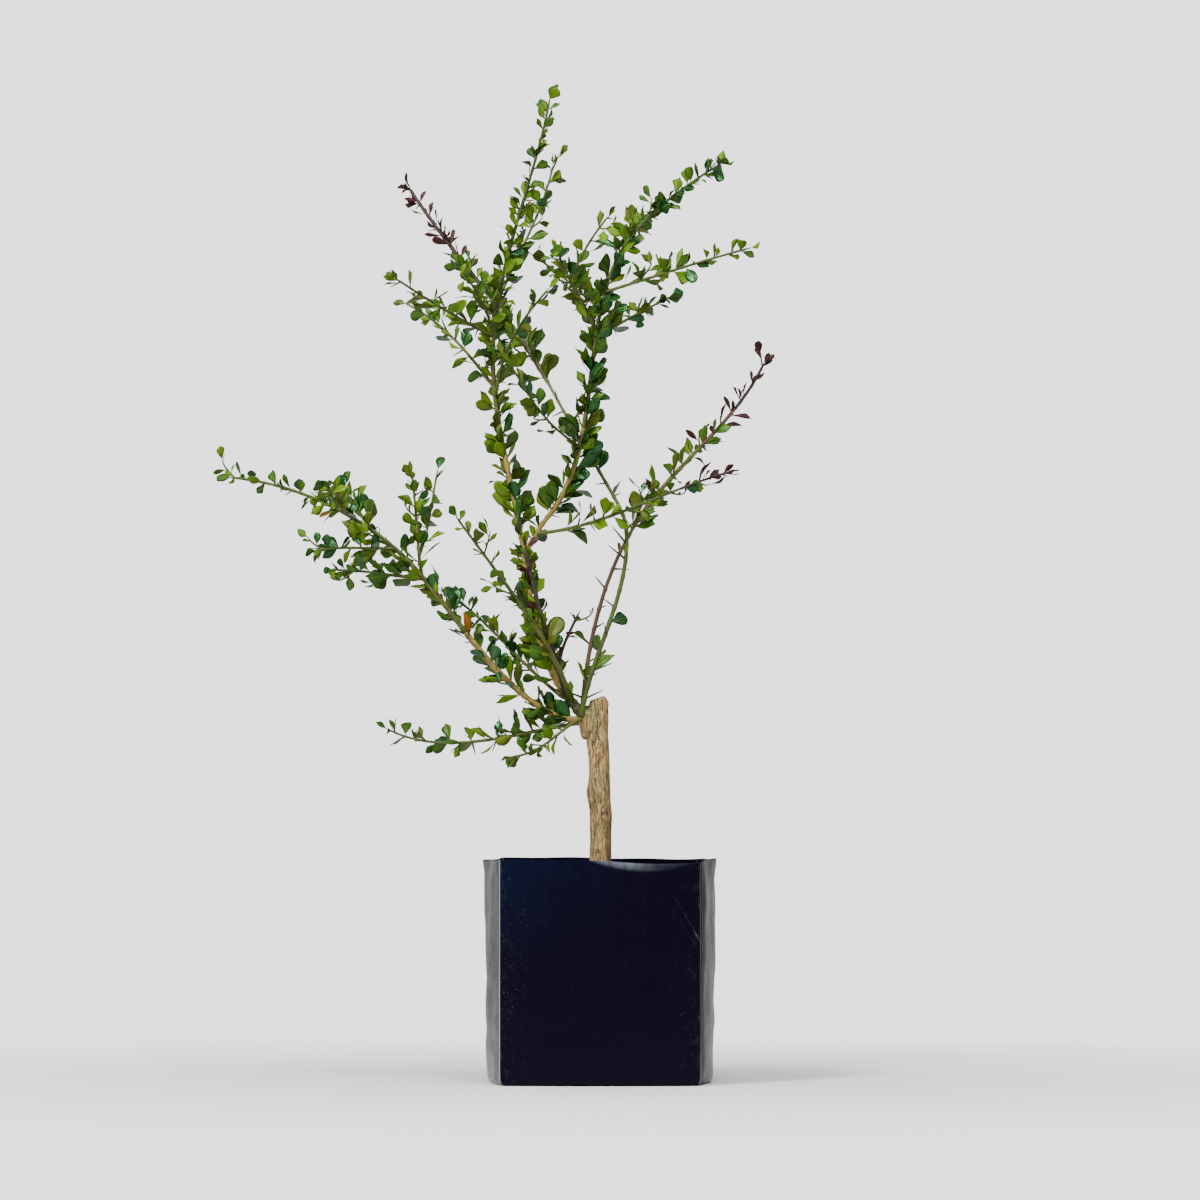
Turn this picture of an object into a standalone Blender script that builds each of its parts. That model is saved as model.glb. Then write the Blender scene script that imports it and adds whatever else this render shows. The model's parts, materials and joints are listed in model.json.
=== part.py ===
"""A young finger lime tree in a black gusseted planting bag, about one metre tall.

Sizes are in millimetres and are turned into metres as each mesh is made. The frame is the
bag's: origin at the centre of its flat underside, +X to the right, +Y to the back, +Z up.
"""

import math
import random
from dataclasses import dataclass

import bmesh
import bpy
import numpy as np
from mathutils import Matrix, Vector

MM = 0.001
GAP = 0.3  # between neighbouring pieces
UP = Vector((0, 0, 1))

# The bag: a film sack with four sharp upright folds and sides that bulge between them.
BAG_HEIGHT = 221.0
BAG_FOLD = 99.0  # from the middle to each upright fold, both ways
BAG_SIDE_BULGE = 16.0
BAG_FRONT_BULGE = 7.0
BAG_WALL = 1.5
BAG_FLOOR = 2.0
BAG_SIDE_STEPS = 6
BAG_LEVELS = ((0.0, 0.955), (5.0, 0.98), (40.0, 0.99), (130.0, 1.0), (BAG_HEIGHT, 1.0))

SOIL_DROP = 20.0  # from the rim down to the potting mix
SOIL_TOP = BAG_HEIGHT - SOIL_DROP

# The trunk: a stout stem topped by a slanted pruning cut.
TRUNK_TOP = 383.0
TRUNK_CUT_SLOPE = 0.32  # rise of the cut for each millimetre to the right
TRUNK_SIDES = 12
# height over the soil, radius and sideways lean of each ring
TRUNK_RINGS = (
    (GAP, 13.0, 0.0),
    (9.0, 11.2, 0.2),
    (24.0, 10.2, 0.6),
    (60.0, 10.0, 0.4),
    (88.0, 10.6, -0.8),
    (120.0, 10.0, -1.2),
    (150.0, 9.8, -1.8),
    (TRUNK_TOP - SOIL_TOP, 9.3, -1.0),
)

# The collar is the swelling on the trunk's left side that every shoot springs from.
COLLAR_CENTRE = Vector((-12.0, 0.0, 361.0))
COLLAR_RADII = Vector((12.0, 15.0, 16.0))
COLLAR_SEGMENTS = 12
COLLAR_RINGS = 8
SEAT_DEPTH = 5.0  # how far a shoot would run into the collar before its seat is cut

# Stems and twigs.
LINE_STEP = 2.0  # between the points that a shoot's line is measured on
RING_STEP = 24.0  # between the rings of its tube
HANDLE = 1 / 3  # of a span, how far its line holds the heading at each end

# Leaves: small and spoon-shaped, one at each joint of the stem.
JOINT_STRIDE = 1.06  # the solids carry a leaf at joints this much further apart than the plant's
LEAF_LENGTH = (15.0, 23.0)
LEAF_SHRINK = (1.18, 0.8)  # from the foot of a limb to its tip
LEAF_WIDTH = 0.56  # of its length
LEAF_THICKNESS = 0.9
LEAF_WIDEST = 0.62  # where along the leaf it is widest
LEAF_THICKEST = 0.3
LEAF_TURN = math.radians(137.5)  # round the stem from one leaf to the next
LEAF_LEAN = (math.radians(36), math.radians(74))  # away from the stem
LEAF_LIFT = 0.25  # how much a leaf turns up towards the light
LEAF_ROLL = math.radians(75)
LEAF_CLEAR = 1.0

TWIG_LENGTH = (12.0, 26.0)
TWIG_LEAN = math.radians(50)
TWIG_RADII = (1.1, 0.85)
TWIG_LEAF_SPACING = 7.0


@dataclass
class Limb:
    """A shoot that runs from its parent through its knots, each a place and a heading."""

    name: str
    node: str
    parent: str
    at: float  # how far along the parent it starts, or 0 on the collar
    leave: tuple  # heading at the start, or None to carry on from the tip of its parent
    knots: tuple
    radii: tuple  # at the start and at the tip
    spacing: float = 0.0  # from leaf to leaf; none on a bare limb
    bare: float = 0.08  # the share at its foot with no leaves
    twigs: float = 0.12  # the chance of a side twig at each joint


LIMBS = (
    # The stub over the collar and the leader, which forks twice on its way to the top.
    Limb("stub", "bough_main", "collar", 0, (-70, 0, 71),
         (((-39, -1, 393), (-56, 0, 83)),), (4.8, 4.1)),
    Limb("leader", "bough_leader", "stub", 1, None,
         (((-78, 15, 537), (-16, 5, 99)),), (3.1, 2.6)),
    Limb("leader_top", "mass_leader", "leader", 1, None,
         (((-107, 35, 748), (8, -5, 99)), ((-50, -30, 980), (18, -10, 98))), (2.5, 0.9), 10),
    Limb("leader_second", "mass_leader", "leader_top", 0.54, (35, 30, 90),
         (((-48, 95, 925), (20, 25, 97)),), (1.3, 0.9), 13),
    Limb("leader_left_high", "mass_leader", "leader_top", 0.46, (-90, -30, 44),
         (((-203, -66, 797), (-80, -30, 50)),), (1.4, 0.9), 12),
    Limb("leader_left_back", "mass_leader", "leader_top", 0.35, (-60, 50, 80),
         (((-198, 113, 786), (-90, 50, 48)),), (1.5, 0.9), 12),
    Limb("leader_left_top", "mass_leader", "leader_top", 0.46, (-20, -30, 90),
         (((-143, -22, 817), (-55, -20, 80)),), (1.2, 0.9), 14),
    Limb("leader_inner", "mass_leader", "leader_top", 0.32, (10, -30, 100),
         (((-51, -60, 787), (65, -30, 70)),), (1.3, 0.9), 15),
    Limb("leader_rear", "mass_leader", "leader_top", 0.43, (0, 90, 40),
         (((-106, 190, 792), (0, 80, 60)),), (1.4, 0.9), 12),
    # Dark red young growth that climbs beside the leader.
    Limb("red", "mass_red", "stub", 0.9, (-30, -45, 84),
         (((-74, -13, 533), (-15, 5, 99)),), (2.2, 1.0), 9, 0.2),
    Limb("red_spur", "mass_red", "red", 0.15, (10, -30, 90),
         (((-21, -45, 466), (40, -30, 85)),), (1.2, 0.9), 18),
    # The shoot that crosses in front of the leader to the left.
    Limb("front_left", "mass_front_left", "stub", 0.7, (-20, -75, 70),
         (((-141, -126, 558), (-50, -50, 70)),), (2.4, 0.9), 11, 0.2),
    Limb("inner_left", "mass_inner_left", "stub", 0.75, (-75, 25, 55),
         (((-154, 46, 488), (-80, 40, 50)),), (1.7, 0.9), 10, 0.15),
    # The long left bough and what it carries.
    Limb("left", "bough_left", "collar", 0, (-100, -8, -3),
         (((-70, -6, 380), (-80, -10, 60)),), (3.2, 2.8)),
    Limb("left_top", "mass_left", "left", 1, None,
         (((-180, -25, 506), (-65, -10, 75)), ((-366, -50, 600), (-99, -10, 8))), (2.7, 1.0), 9, 0.05),
    Limb("left_front", "mass_left", "left_top", 0.53, (-93, -35, -2),
         (((-280, -97, 526), (-92, -30, -14)),), (1.3, 0.9), 13),
    Limb("left_lower", "mass_left", "left_top", 0.42, (-93, 30, 8),
         (((-268, 30, 511), (-95, 25, 0)),), (1.5, 0.9), 10),
    Limb("left_upright", "mass_left", "left_top", 0.43, (-15, 10, 99),
         (((-188, -15, 604), (-15, 5, 99)),), (1.5, 0.9), 10),
    Limb("left_upright_thin", "mass_left", "left_upright", 0.2, (30, 40, 85),
         (((-163, 26, 612), (20, 5, 98)),), (1.1, 0.85), 15),
    Limb("left_spray_front", "mass_left", "left_top", 0.66, (-30, -90, 20),
         (((-268, -135, 588), (-20, -85, 40)),), (1.3, 0.9), 11),
    Limb("left_spray_rear", "mass_left", "left_top", 0.6, (-20, 90, 25),
         (((-262, 75, 598), (-30, 85, 45)),), (1.3, 0.9), 11),
    # Two low shoots under the left bough.
    Limb("low", "mass_low", "collar", 0, (-90, 42, -12),
         (((-216, 76, 352), (-85, 25, 45)),), (1.8, 0.9), 11, 0.12),
    Limb("low_front", "mass_low_front", "collar", 0, (-62, -75, -22),
         (((-88, -80, 323), (-90, -35, -5)),), (1.4, 0.9), 10, 0.25),
    # The right-hand bough off the leader's fork.
    Limb("right", "bough_right", "leader", 0.97, (78, -20, 58),
         (((-55, 7, 560), (70, -30, 72)),), (2.6, 2.4)),
    Limb("right_top", "mass_right", "right", 1, None,
         (((-8, -25, 711), (12, -10, 99)), ((12, -40, 807), (35, -10, 93)),
          ((119, -75, 910), (80, -20, 50))), (2.4, 0.9), 8.5, 0.04),
    Limb("right_outer", "mass_right", "right_top", 0.575, (90, -40, 25),
         (((148, -125, 822), (88, -40, 20)),), (1.4, 0.9), 13),
    Limb("right_rear", "mass_right", "right_top", 0.46, (75, 40, 55),
         (((72, 42, 788), (80, 30, 45)),), (1.4, 0.9), 10),
    Limb("right_front", "mass_right", "right_top", 0.47, (-25, -60, 75),
         (((-42, -140, 818), (-30, -50, 80)),), (1.4, 0.9), 11),
    Limb("right_front_side", "mass_right", "right_front", 0.7, (40, -30, 85),
         (((8, -165, 849), (60, -30, 70)),), (1.1, 0.85), 16),
    Limb("right_crossing", "mass_right", "right_top", 0.53, (-65, 50, 60),
         (((-70, 70, 833), (-70, 50, 50)),), (1.1, 0.85), 15),
    Limb("right_thin", "mass_right", "right_top", 0.2, (-75, -50, 45),
         (((-89, -110, 710), (-45, -50, 75)),), (1.1, 0.85), 16),
    Limb("right_high_rear", "mass_right", "right_top", 0.72, (10, 85, 45),
         (((42, 85, 868), (15, 80, 50)),), (1.3, 0.9), 11),
    Limb("crossing", "mass_crossing", "right", 0.6, (85, -50, 5),
         (((129, -70, 605), (92, -25, 25)),), (1.6, 0.9), 12, 0.1),
    # The green shoot that rises past the trunk's top, and the grey limb it turns into.
    Limb("green", "bough_green", "collar", 0, (16, -22, 96),
         (((26, -5, 552), (-10, 5, 99)),), (2.5, 2.0)),
    Limb("green_top", "mass_green", "green", 0.95, (40, -50, 75),
         (((50, -38, 588), (60, -20, 75)),), (1.3, 0.9), 9),
    Limb("grey", "bough_grey", "green", 1, None,
         (((17, 3, 578), (-45, 25, 83)), ((-48, 70, 694), (-42, 40, 82))), (1.9, 1.5)),
    Limb("grey_top", "mass_grey", "grey", 1, None,
         (((-197, 178, 911), (-50, 35, 80)),), (1.5, 0.9), 14),
    # The brown shoot that leans out to the right.
    Limb("brown", "bough_brown", "collar", 0, (6, 30, 95),
         (((31, 25, 549), (50, 10, 86)),), (2.4, 1.8)),
    Limb("brown_top", "mass_brown", "brown", 1, None,
         (((167, 106, 724), (42, 25, 88)),), (1.7, 0.9), 18),
)

# Where on the collar's surface each of its shoots sits, as a direction from its centre.
COLLAR_SEATS = {
    "stub": (-72, 0, 70),
    "left": (-99, -6, -12),
    "low": (-70, 66, -30),
    "low_front": (-66, -74, -8),
    "green": (-38, -60, 72),
    "brown": (-38, 60, 72),
}


def along(line, distance):
    """The place and heading at a distance along a line."""
    steps = line["reach"]
    spot = [np.interp(distance, steps, line["points"][:, axis]) for axis in range(3)]
    ahead = [np.interp(distance + 1, steps, line["points"][:, axis]) for axis in range(3)]
    behind = [np.interp(distance - 1, steps, line["points"][:, axis]) for axis in range(3)]
    return Vector(spot), (Vector(ahead) - Vector(behind)).normalized()


def radius_at(line, distance):
    share = distance / line["reach"][-1]
    return line["radii"][0] + (line["radii"][1] - line["radii"][0]) * share


def make_line(start, leave, knots, radii):
    """A smooth line through the knots: each span is a cubic that holds both headings."""
    points = [start]
    heading = leave.normalized()
    for place, arrive in knots:
        end = Vector(place)
        arrive = Vector(arrive).normalized()
        handle = (end - start).length * HANDLE
        count = max(4, round((end - start).length / LINE_STEP))
        first = start + heading * handle
        second = end - arrive * handle
        for step in range(1, count + 1):
            t = step / count
            u = 1 - t
            points.append(start * u**3 + first * (3 * u * u * t) + second * (3 * u * t * t) + end * t**3)
        start = end
        heading = arrive
    points = np.array([tuple(point) for point in points])
    lengths = np.linalg.norm(np.diff(points, axis=0), axis=1)
    return {"points": points, "reach": np.concatenate([[0.0], np.cumsum(lengths)]), "radii": radii}


def collar_point(direction):
    direction = Vector(direction)
    scaled = Vector([d / r for d, r in zip(direction, COLLAR_RADII)])
    return COLLAR_CENTRE + direction / scaled.length


def limb_start(limb, limbs, lines):
    """Where a limb begins and its heading there: in the collar, in a parent of its own node,
    past the tip of another node's limb, or beside that limb and clear of it."""
    if limb.parent == "collar":
        leave = Vector(limb.leave).normalized()
        return collar_point(COLLAR_SEATS[limb.name]) - leave * SEAT_DEPTH, leave
    line = lines[limb.parent]
    spot, heading = along(line, limb.at * line["reach"][-1])
    if not limb.leave:
        return spot + heading * GAP, heading
    leave = Vector(limb.leave).normalized()
    if limbs[limb.parent].node == limb.node:
        return spot, leave
    slant = leave.dot(heading)
    outward = (leave - heading * slant).normalized()
    clear = radius_at(line, limb.at * line["reach"][-1]) + limb.radii[0] * slant + GAP
    return spot + outward * clear, leave


def lay_lines():
    limbs = {limb.name: limb for limb in LIMBS}
    lines = {}
    for limb in LIMBS:
        start, leave = limb_start(limb, limbs, lines)
        lines[limb.name] = make_line(start, leave, limb.knots, limb.radii)
    return lines


def samples_of(lines):
    """Every limb's points and radii, by node, for telling how near a leaf comes."""
    spots = {}
    for limb in LIMBS:
        line = lines[limb.name]
        radii = np.linspace(*line["radii"], len(line["points"]))
        rows = np.column_stack([line["points"], radii])
        spots[limb.node] = np.vstack([spots.get(limb.node, np.empty((0, 4))), rows])
    trunk = [(lean, 0.0, SOIL_TOP + height, radius) for height, radius, lean in TRUNK_RINGS[1:]]
    heights = np.arange(SOIL_TOP, TRUNK_TOP + 4, 4.0)
    rings = np.array(trunk)
    rows = [np.interp(heights, rings[:, 2], rings[:, axis]) for axis in (0, 1)]
    radii = np.interp(heights, rings[:, 2], rings[:, 3])
    spots["trunk"] = np.column_stack([rows[0], rows[1], heights, radii])
    spots["collar"] = np.array([(*COLLAR_CENTRE, max(COLLAR_RADII))])
    return spots


def nearest(points, rows):
    """The least distance from each point to the surface of the limbs in rows."""
    away = np.linalg.norm(points[:, None, :] - rows[None, :, :3], axis=2)
    return (away - rows[None, :, 3]).min(axis=1)


def is_free(points, node, spots):
    """True where points keep to their mass's own space: nearer to its stems than to another
    mass's, and clear of the trunk and of every bare limb."""
    points = np.array([tuple(point) for point in points])
    own = nearest(points, spots[node])
    for other, rows in spots.items():
        if other == node:
            continue
        margin = own + LEAF_CLEAR if other.startswith("mass") else LEAF_CLEAR
        if (nearest(points, rows) < margin).any():
            return False
    return True


def sideways(heading):
    side = heading.cross(UP)
    return side.normalized() if side.length > 0.1 else heading.cross(Vector((0, 1, 0))).normalized()


def leaf_at(dice, spot, heading, turn, share):
    """One leaf: its root, direction, blade normal, length and width."""
    outward = Matrix.Rotation(turn, 3, heading) @ sideways(heading)
    lean = dice.uniform(*LEAF_LEAN)
    direction = heading * math.cos(lean) + outward * math.sin(lean)
    direction = (direction + UP * LEAF_LIFT).normalized()
    normal = direction.cross(heading.cross(direction)).normalized()
    normal = direction.cross(Matrix.Rotation(dice.uniform(-LEAF_ROLL, LEAF_ROLL), 3, direction) @ normal)
    shrink = LEAF_SHRINK[0] + (LEAF_SHRINK[1] - LEAF_SHRINK[0]) * share
    length = dice.uniform(*LEAF_LENGTH) * shrink
    return {
        "root": spot,
        "along": direction,
        "normal": normal.normalized(),
        "length": length,
        "width": length * LEAF_WIDTH * dice.uniform(0.8, 1.15),
    }


def leaf_corners(leaf):
    """The six corners of a leaf: root, tip, both sides, top and underside."""
    side = leaf["along"].cross(leaf["normal"]) * leaf["width"] / 2
    widest = leaf["root"] + leaf["along"] * leaf["length"] * LEAF_WIDEST
    thick = leaf["root"] + leaf["along"] * leaf["length"] * LEAF_THICKEST
    over = leaf["normal"] * LEAF_THICKNESS / 2
    tip = leaf["root"] + leaf["along"] * leaf["length"]
    return [leaf["root"], tip, widest + side, widest - side, thick + over, thick - over]


def leaf_probe(leaf):
    """Places on a leaf's rim and midline, past its root."""
    corners = leaf_corners(leaf)
    ways = ((0, 1), (0, 2), (0, 3), (1, 2), (1, 3))
    return [corners[a].lerp(corners[b], t) for a, b in ways for t in (0.35, 0.55, 0.8, 1.0)]


def foliage(limb, line, spots):
    """The seeded rule: leaves turn round the limb joint by joint, and some joints bear a twig."""
    dice = random.Random(limb.name)
    twigs = []
    leaves = []
    length = line["reach"][-1]
    turn = dice.uniform(0, math.tau)
    stride = limb.spacing * JOINT_STRIDE
    distance = limb.bare * length + stride * 0.5
    while distance < length - 2:
        spot, heading = along(line, distance)
        turn += LEAF_TURN
        leaves.append(leaf_at(dice, spot, heading, turn, distance / length))
        if dice.random() < limb.twigs:
            outward = Matrix.Rotation(turn + math.pi, 3, heading) @ sideways(heading)
            way = heading * math.cos(TWIG_LEAN) + outward * math.sin(TWIG_LEAN)
            tip = spot + (way + UP * LEAF_LIFT) * dice.uniform(*TWIG_LENGTH)
            twig = make_line(spot, way, ((tip, way + UP),), TWIG_RADII)
            if is_free(twig["points"], limb.node, spots):
                twigs.append(twig)
                leaves += twig_leaves(dice, twig)
        distance += stride * dice.uniform(0.75, 1.25)
    spot, heading = along(line, length - 1)
    leaves.append(leaf_at(dice, spot, heading, turn, 1) | {"along": heading})
    return twigs, [leaf for leaf in leaves if is_free(leaf_probe(leaf), limb.node, spots)]


def twig_leaves(dice, twig):
    leaves = []
    turn = dice.uniform(0, math.tau)
    distance = TWIG_LEAF_SPACING
    while distance < twig["reach"][-1] - 1:
        spot, heading = along(twig, distance)
        turn += LEAF_TURN
        leaves.append(leaf_at(dice, spot, heading, turn, 1))
        distance += TWIG_LEAF_SPACING
    spot, heading = along(twig, twig["reach"][-1] - 1)
    leaves.append(leaf_at(dice, spot, heading, turn, 1))
    return leaves


def link(name, bm, material=None):
    mesh = bpy.data.meshes.new(name)
    bmesh.ops.recalc_face_normals(bm, faces=bm.faces)
    bm.to_mesh(mesh)
    bm.free()
    obj = bpy.data.objects.new(name, mesh)
    bpy.context.scene.collection.objects.link(obj)
    if material:
        mesh.materials.append(material)
    return obj


def loft(rings):
    """A closed solid through rings of equal counts of points, with a flat cap at each end."""
    bm = bmesh.new()
    loops = [[bm.verts.new(Vector(point) * MM) for point in ring] for ring in rings]
    for lower, upper in zip(loops, loops[1:]):
        for i in range(len(lower)):
            j = (i + 1) % len(lower)
            bm.faces.new((lower[i], lower[j], upper[j], upper[i]))
    bm.faces.new(reversed(loops[0]))
    bm.faces.new(loops[-1])
    return bm


def tube_sides(radius):
    if radius < 1.2:
        return 3
    if radius < 2.3:
        return 4
    if radius < 3:
        return 5
    return 7 if radius < 4 else 10


def tube(line, sides):
    """A tapering limb along a line."""
    length = line["reach"][-1]
    count = max(1, round(length / RING_STEP))
    rings = []
    side = None
    for step in range(count + 1):
        spot, heading = along(line, length * step / count)
        side = sideways(heading) if side is None else (side - heading * side.dot(heading)).normalized()
        other = heading.cross(side)
        radius = radius_at(line, length * step / count)
        turns = [math.tau * i / sides for i in range(sides)]
        rings.append([spot + (side * math.cos(a) + other * math.sin(a)) * radius for a in turns])
    return loft(rings)


def leaf_solid(leaf):
    """A leaf of eight faces, from its root sunk in the stem to its tip."""
    bm = bmesh.new()
    root, tip, left, right, top, under = [bm.verts.new(c * MM) for c in leaf_corners(leaf)]
    for a, b in ((root, left), (left, tip), (tip, right), (right, root)):
        bm.faces.new((a, b, top))
        bm.faces.new((b, a, under))
    return bm


def keep_main_body(obj):
    """Fills a hollow that fusing sealed, and drops loose scraps."""
    bm = bmesh.new()
    bm.from_mesh(obj.data)
    bodies = []
    waiting = set(bm.verts)
    while waiting:
        body = set()
        front = [waiting.pop()]
        while front:
            vert = front.pop()
            body.add(vert)
            near = {edge.other_vert(vert) for edge in vert.link_edges} & waiting
            waiting -= near
            front += near
        bodies.append(body)
    largest = max(bodies, key=len)
    bmesh.ops.delete(bm, geom=[v for v in bm.verts if v not in largest], context="VERTS")
    bm.to_mesh(obj.data)
    bm.free()


def apply_modifiers(obj):
    graph = bpy.context.evaluated_depsgraph_get()
    mesh = bpy.data.meshes.new_from_object(obj.evaluated_get(graph))
    obj.modifiers.clear()
    obj.data = mesh


def fuse(obj, pieces, solver="EXACT"):
    """Joins the pieces to obj with one union on their collection, and removes them."""
    group = bpy.data.collections.new(obj.name + "_pieces")
    bpy.context.scene.collection.children.link(group)
    for piece in pieces:
        bpy.context.scene.collection.objects.unlink(piece)
        group.objects.link(piece)
    union = obj.modifiers.new("fuse", "BOOLEAN")
    union.operation = "UNION"
    union.operand_type = "COLLECTION"
    union.collection = group
    union.solver = solver
    apply_modifiers(obj)
    for piece in pieces:
        bpy.data.objects.remove(piece)
    bpy.data.collections.remove(group)
    keep_main_body(obj)


def cut(obj, cutter):
    shave = obj.modifiers.new("seat", "BOOLEAN")
    shave.operation = "DIFFERENCE"
    shave.object = cutter
    apply_modifiers(obj)


def collar_solid(name, grow):
    bm = bmesh.new()
    bmesh.ops.create_uvsphere(bm, u_segments=COLLAR_SEGMENTS, v_segments=COLLAR_RINGS, radius=1)
    sizes = (COLLAR_RADII + Vector((grow, grow, grow))) * MM
    bmesh.ops.scale(bm, verts=bm.verts, vec=sizes)
    bmesh.ops.translate(bm, verts=bm.verts, vec=COLLAR_CENTRE * MM)
    return link(name, bm)


def make_trunk():
    rings = []
    for height, radius, lean in TRUNK_RINGS:
        ring = []
        for i in range(TRUNK_SIDES):
            a = math.tau * i / TRUNK_SIDES
            x = lean + radius * math.cos(a)
            ring.append(Vector((x, radius * math.sin(a), SOIL_TOP + height)))
        rings.append(ring)
    for point in rings[-1]:
        point.z += point.x * TRUNK_CUT_SLOPE
    trunk = link("trunk", loft(rings), bark("trunk_bark", (0.42, 0.31, 0.19)))
    fuse(trunk, [collar_solid("collar", 0)])
    return trunk


def bag_outline(scale, inset):
    """The bag's plan: four folds joined by sides that bulge, pulled in by inset."""
    points = []
    corners = ((-1, -1), (1, -1), (1, 1), (-1, 1))
    for i, (x, y) in enumerate(corners):
        next_x, next_y = corners[(i + 1) % 4]
        bulge = BAG_FRONT_BULGE if y == next_y else BAG_SIDE_BULGE
        for step in range(BAG_SIDE_STEPS):
            t = step / BAG_SIDE_STEPS
            out = bulge * 4 * t * (1 - t)
            fold = BAG_FOLD * scale - inset
            across = (x + (next_x - x) * t) * fold + (out * x if x == next_x else 0)
            deep = (y + (next_y - y) * t) * fold + (out * y if y == next_y else 0)
            points.append((across, deep))
    return points


def bag_ring(height, scale, inset):
    return [Vector((x, y, height)) for x, y in bag_outline(scale, inset)]


def bag_scale(height):
    heights = [level for level, _ in BAG_LEVELS]
    return float(np.interp(height, heights, [scale for _, scale in BAG_LEVELS]))


def make_bag():
    outer = [bag_ring(height, scale, 0) for height, scale in BAG_LEVELS]
    heights = [BAG_FLOOR] + [height for height, _ in BAG_LEVELS[1:]]
    inner = [bag_ring(height, bag_scale(height), BAG_WALL) for height in heights]
    return link("bag", loft(outer + inner[::-1]), film("black_film", (0.012, 0.013, 0.016)))


def make_soil():
    foot = BAG_FLOOR + GAP
    heights = [foot] + [height for height, _ in BAG_LEVELS[1:-1]] + [SOIL_TOP]
    rings = [bag_ring(height, bag_scale(height), BAG_WALL + GAP) for height in heights]
    return link("soil", loft(rings), matte("potting_mix", (0.06, 0.04, 0.028)))


def surface(name, colour, roughness):
    material = bpy.data.materials.get(name)
    if material:
        return material
    material = bpy.data.materials.new(name)
    material.use_nodes = True
    shader = material.node_tree.nodes["Principled BSDF"]
    shader.inputs["Base Color"].default_value = (*colour, 1)
    shader.inputs["Roughness"].default_value = roughness
    shader.inputs["Metallic"].default_value = 0
    return material


def bark(name, colour):
    return surface(name, colour, 0.8)


def film(name, colour):
    return surface(name, colour, 0.35)


def matte(name, colour):
    return surface(name, colour, 0.95)


def leaf_green(name, colour):
    return surface(name, colour, 0.45)


BARKS = {
    "bough_main": ("dark_bark", (0.09, 0.10, 0.04)),
    "bough_leader": ("tan_bark", (0.45, 0.36, 0.18)),
    "bough_left": ("tan_bark", (0.45, 0.36, 0.18)),
    "bough_right": ("tan_bark", (0.45, 0.36, 0.18)),
    "bough_green": ("green_bark", (0.20, 0.24, 0.06)),
    "bough_grey": ("grey_bark", (0.25, 0.21, 0.15)),
    "bough_brown": ("brown_bark", (0.16, 0.09, 0.06)),
}


def make_bough(limb, line, seat):
    bough = link(limb.node, tube(line, tube_sides(limb.radii[0])), bark(*BARKS[limb.node]))
    if limb.parent == "collar":
        cut(bough, seat)
        keep_main_body(bough)
    return bough


def make_mass(node, lines, spots, seat):
    """One mass: its stem, side shoots, twigs and leaves, fused."""
    limbs = [limb for limb in LIMBS if limb.node == node]
    stem = limbs[0]
    obj = link(node, tube(lines[stem.name], tube_sides(stem.radii[0])), leaf_green("leaf", (0.08, 0.19, 0.03)))
    if stem.parent == "collar":
        cut(obj, seat)
    pieces = [link(limb.name, tube(lines[limb.name], tube_sides(limb.radii[0]))) for limb in limbs[1:]]
    for limb in limbs:
        twigs, leaves = foliage(limb, lines[limb.name], spots)
        pieces += [link("twig", tube(twig, 3)) for twig in twigs]
        pieces += [link("leaf", leaf_solid(leaf)) for leaf in leaves]
    fuse(obj, pieces)
    return obj


def main():
    for obj in list(bpy.data.objects):
        bpy.data.objects.remove(obj)
    lines = lay_lines()
    spots = samples_of(lines)
    make_bag()
    make_soil()
    make_trunk()
    seat = collar_solid("seat", GAP)
    nodes = []
    for limb in LIMBS:
        if limb.node in nodes:
            continue
        nodes.append(limb.node)
        if limb.spacing:
            make_mass(limb.node, lines, spots, seat)
        else:
            make_bough(limb, lines[limb.name], seat)
    bpy.data.objects.remove(seat)


main()
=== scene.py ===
import json
import math
import random

import bpy
import numpy as np
from mathutils import Matrix, Vector

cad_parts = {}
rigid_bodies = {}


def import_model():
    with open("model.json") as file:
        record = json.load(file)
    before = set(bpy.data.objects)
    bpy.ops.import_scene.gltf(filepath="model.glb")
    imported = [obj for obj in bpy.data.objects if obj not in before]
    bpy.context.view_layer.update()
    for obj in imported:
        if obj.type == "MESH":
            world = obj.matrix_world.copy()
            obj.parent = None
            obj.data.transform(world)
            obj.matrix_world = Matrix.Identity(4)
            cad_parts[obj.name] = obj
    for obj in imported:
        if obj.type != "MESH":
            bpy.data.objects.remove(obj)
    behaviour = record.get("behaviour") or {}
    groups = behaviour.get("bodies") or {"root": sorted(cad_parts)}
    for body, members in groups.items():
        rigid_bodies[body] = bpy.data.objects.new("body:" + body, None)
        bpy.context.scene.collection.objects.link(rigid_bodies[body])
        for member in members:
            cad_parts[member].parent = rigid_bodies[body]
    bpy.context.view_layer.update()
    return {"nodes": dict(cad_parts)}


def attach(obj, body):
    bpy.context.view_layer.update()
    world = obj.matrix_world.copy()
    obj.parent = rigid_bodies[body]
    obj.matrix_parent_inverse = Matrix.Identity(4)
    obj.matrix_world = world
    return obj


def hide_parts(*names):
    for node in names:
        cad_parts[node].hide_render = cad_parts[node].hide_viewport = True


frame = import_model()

print("frame loaded:", len(frame["nodes"]), "nodes")

millimetre = 0.001  # every size below is in millimetres
up = Vector((0, 0, 1))
gap = 0.3  # between the solids of two limbs
noTris = np.empty((0, 3), int)


def newObject(name, points, quads, tris, materials):
    mesh = bpy.data.meshes.new(name)
    mesh.from_pydata(points.tolist(), [], quads.tolist() + tris.tolist())
    for material in materials:
        mesh.materials.append(material)
    made = bpy.data.objects.new(name, mesh)
    bpy.context.scene.collection.objects.link(made)
    return made


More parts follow.
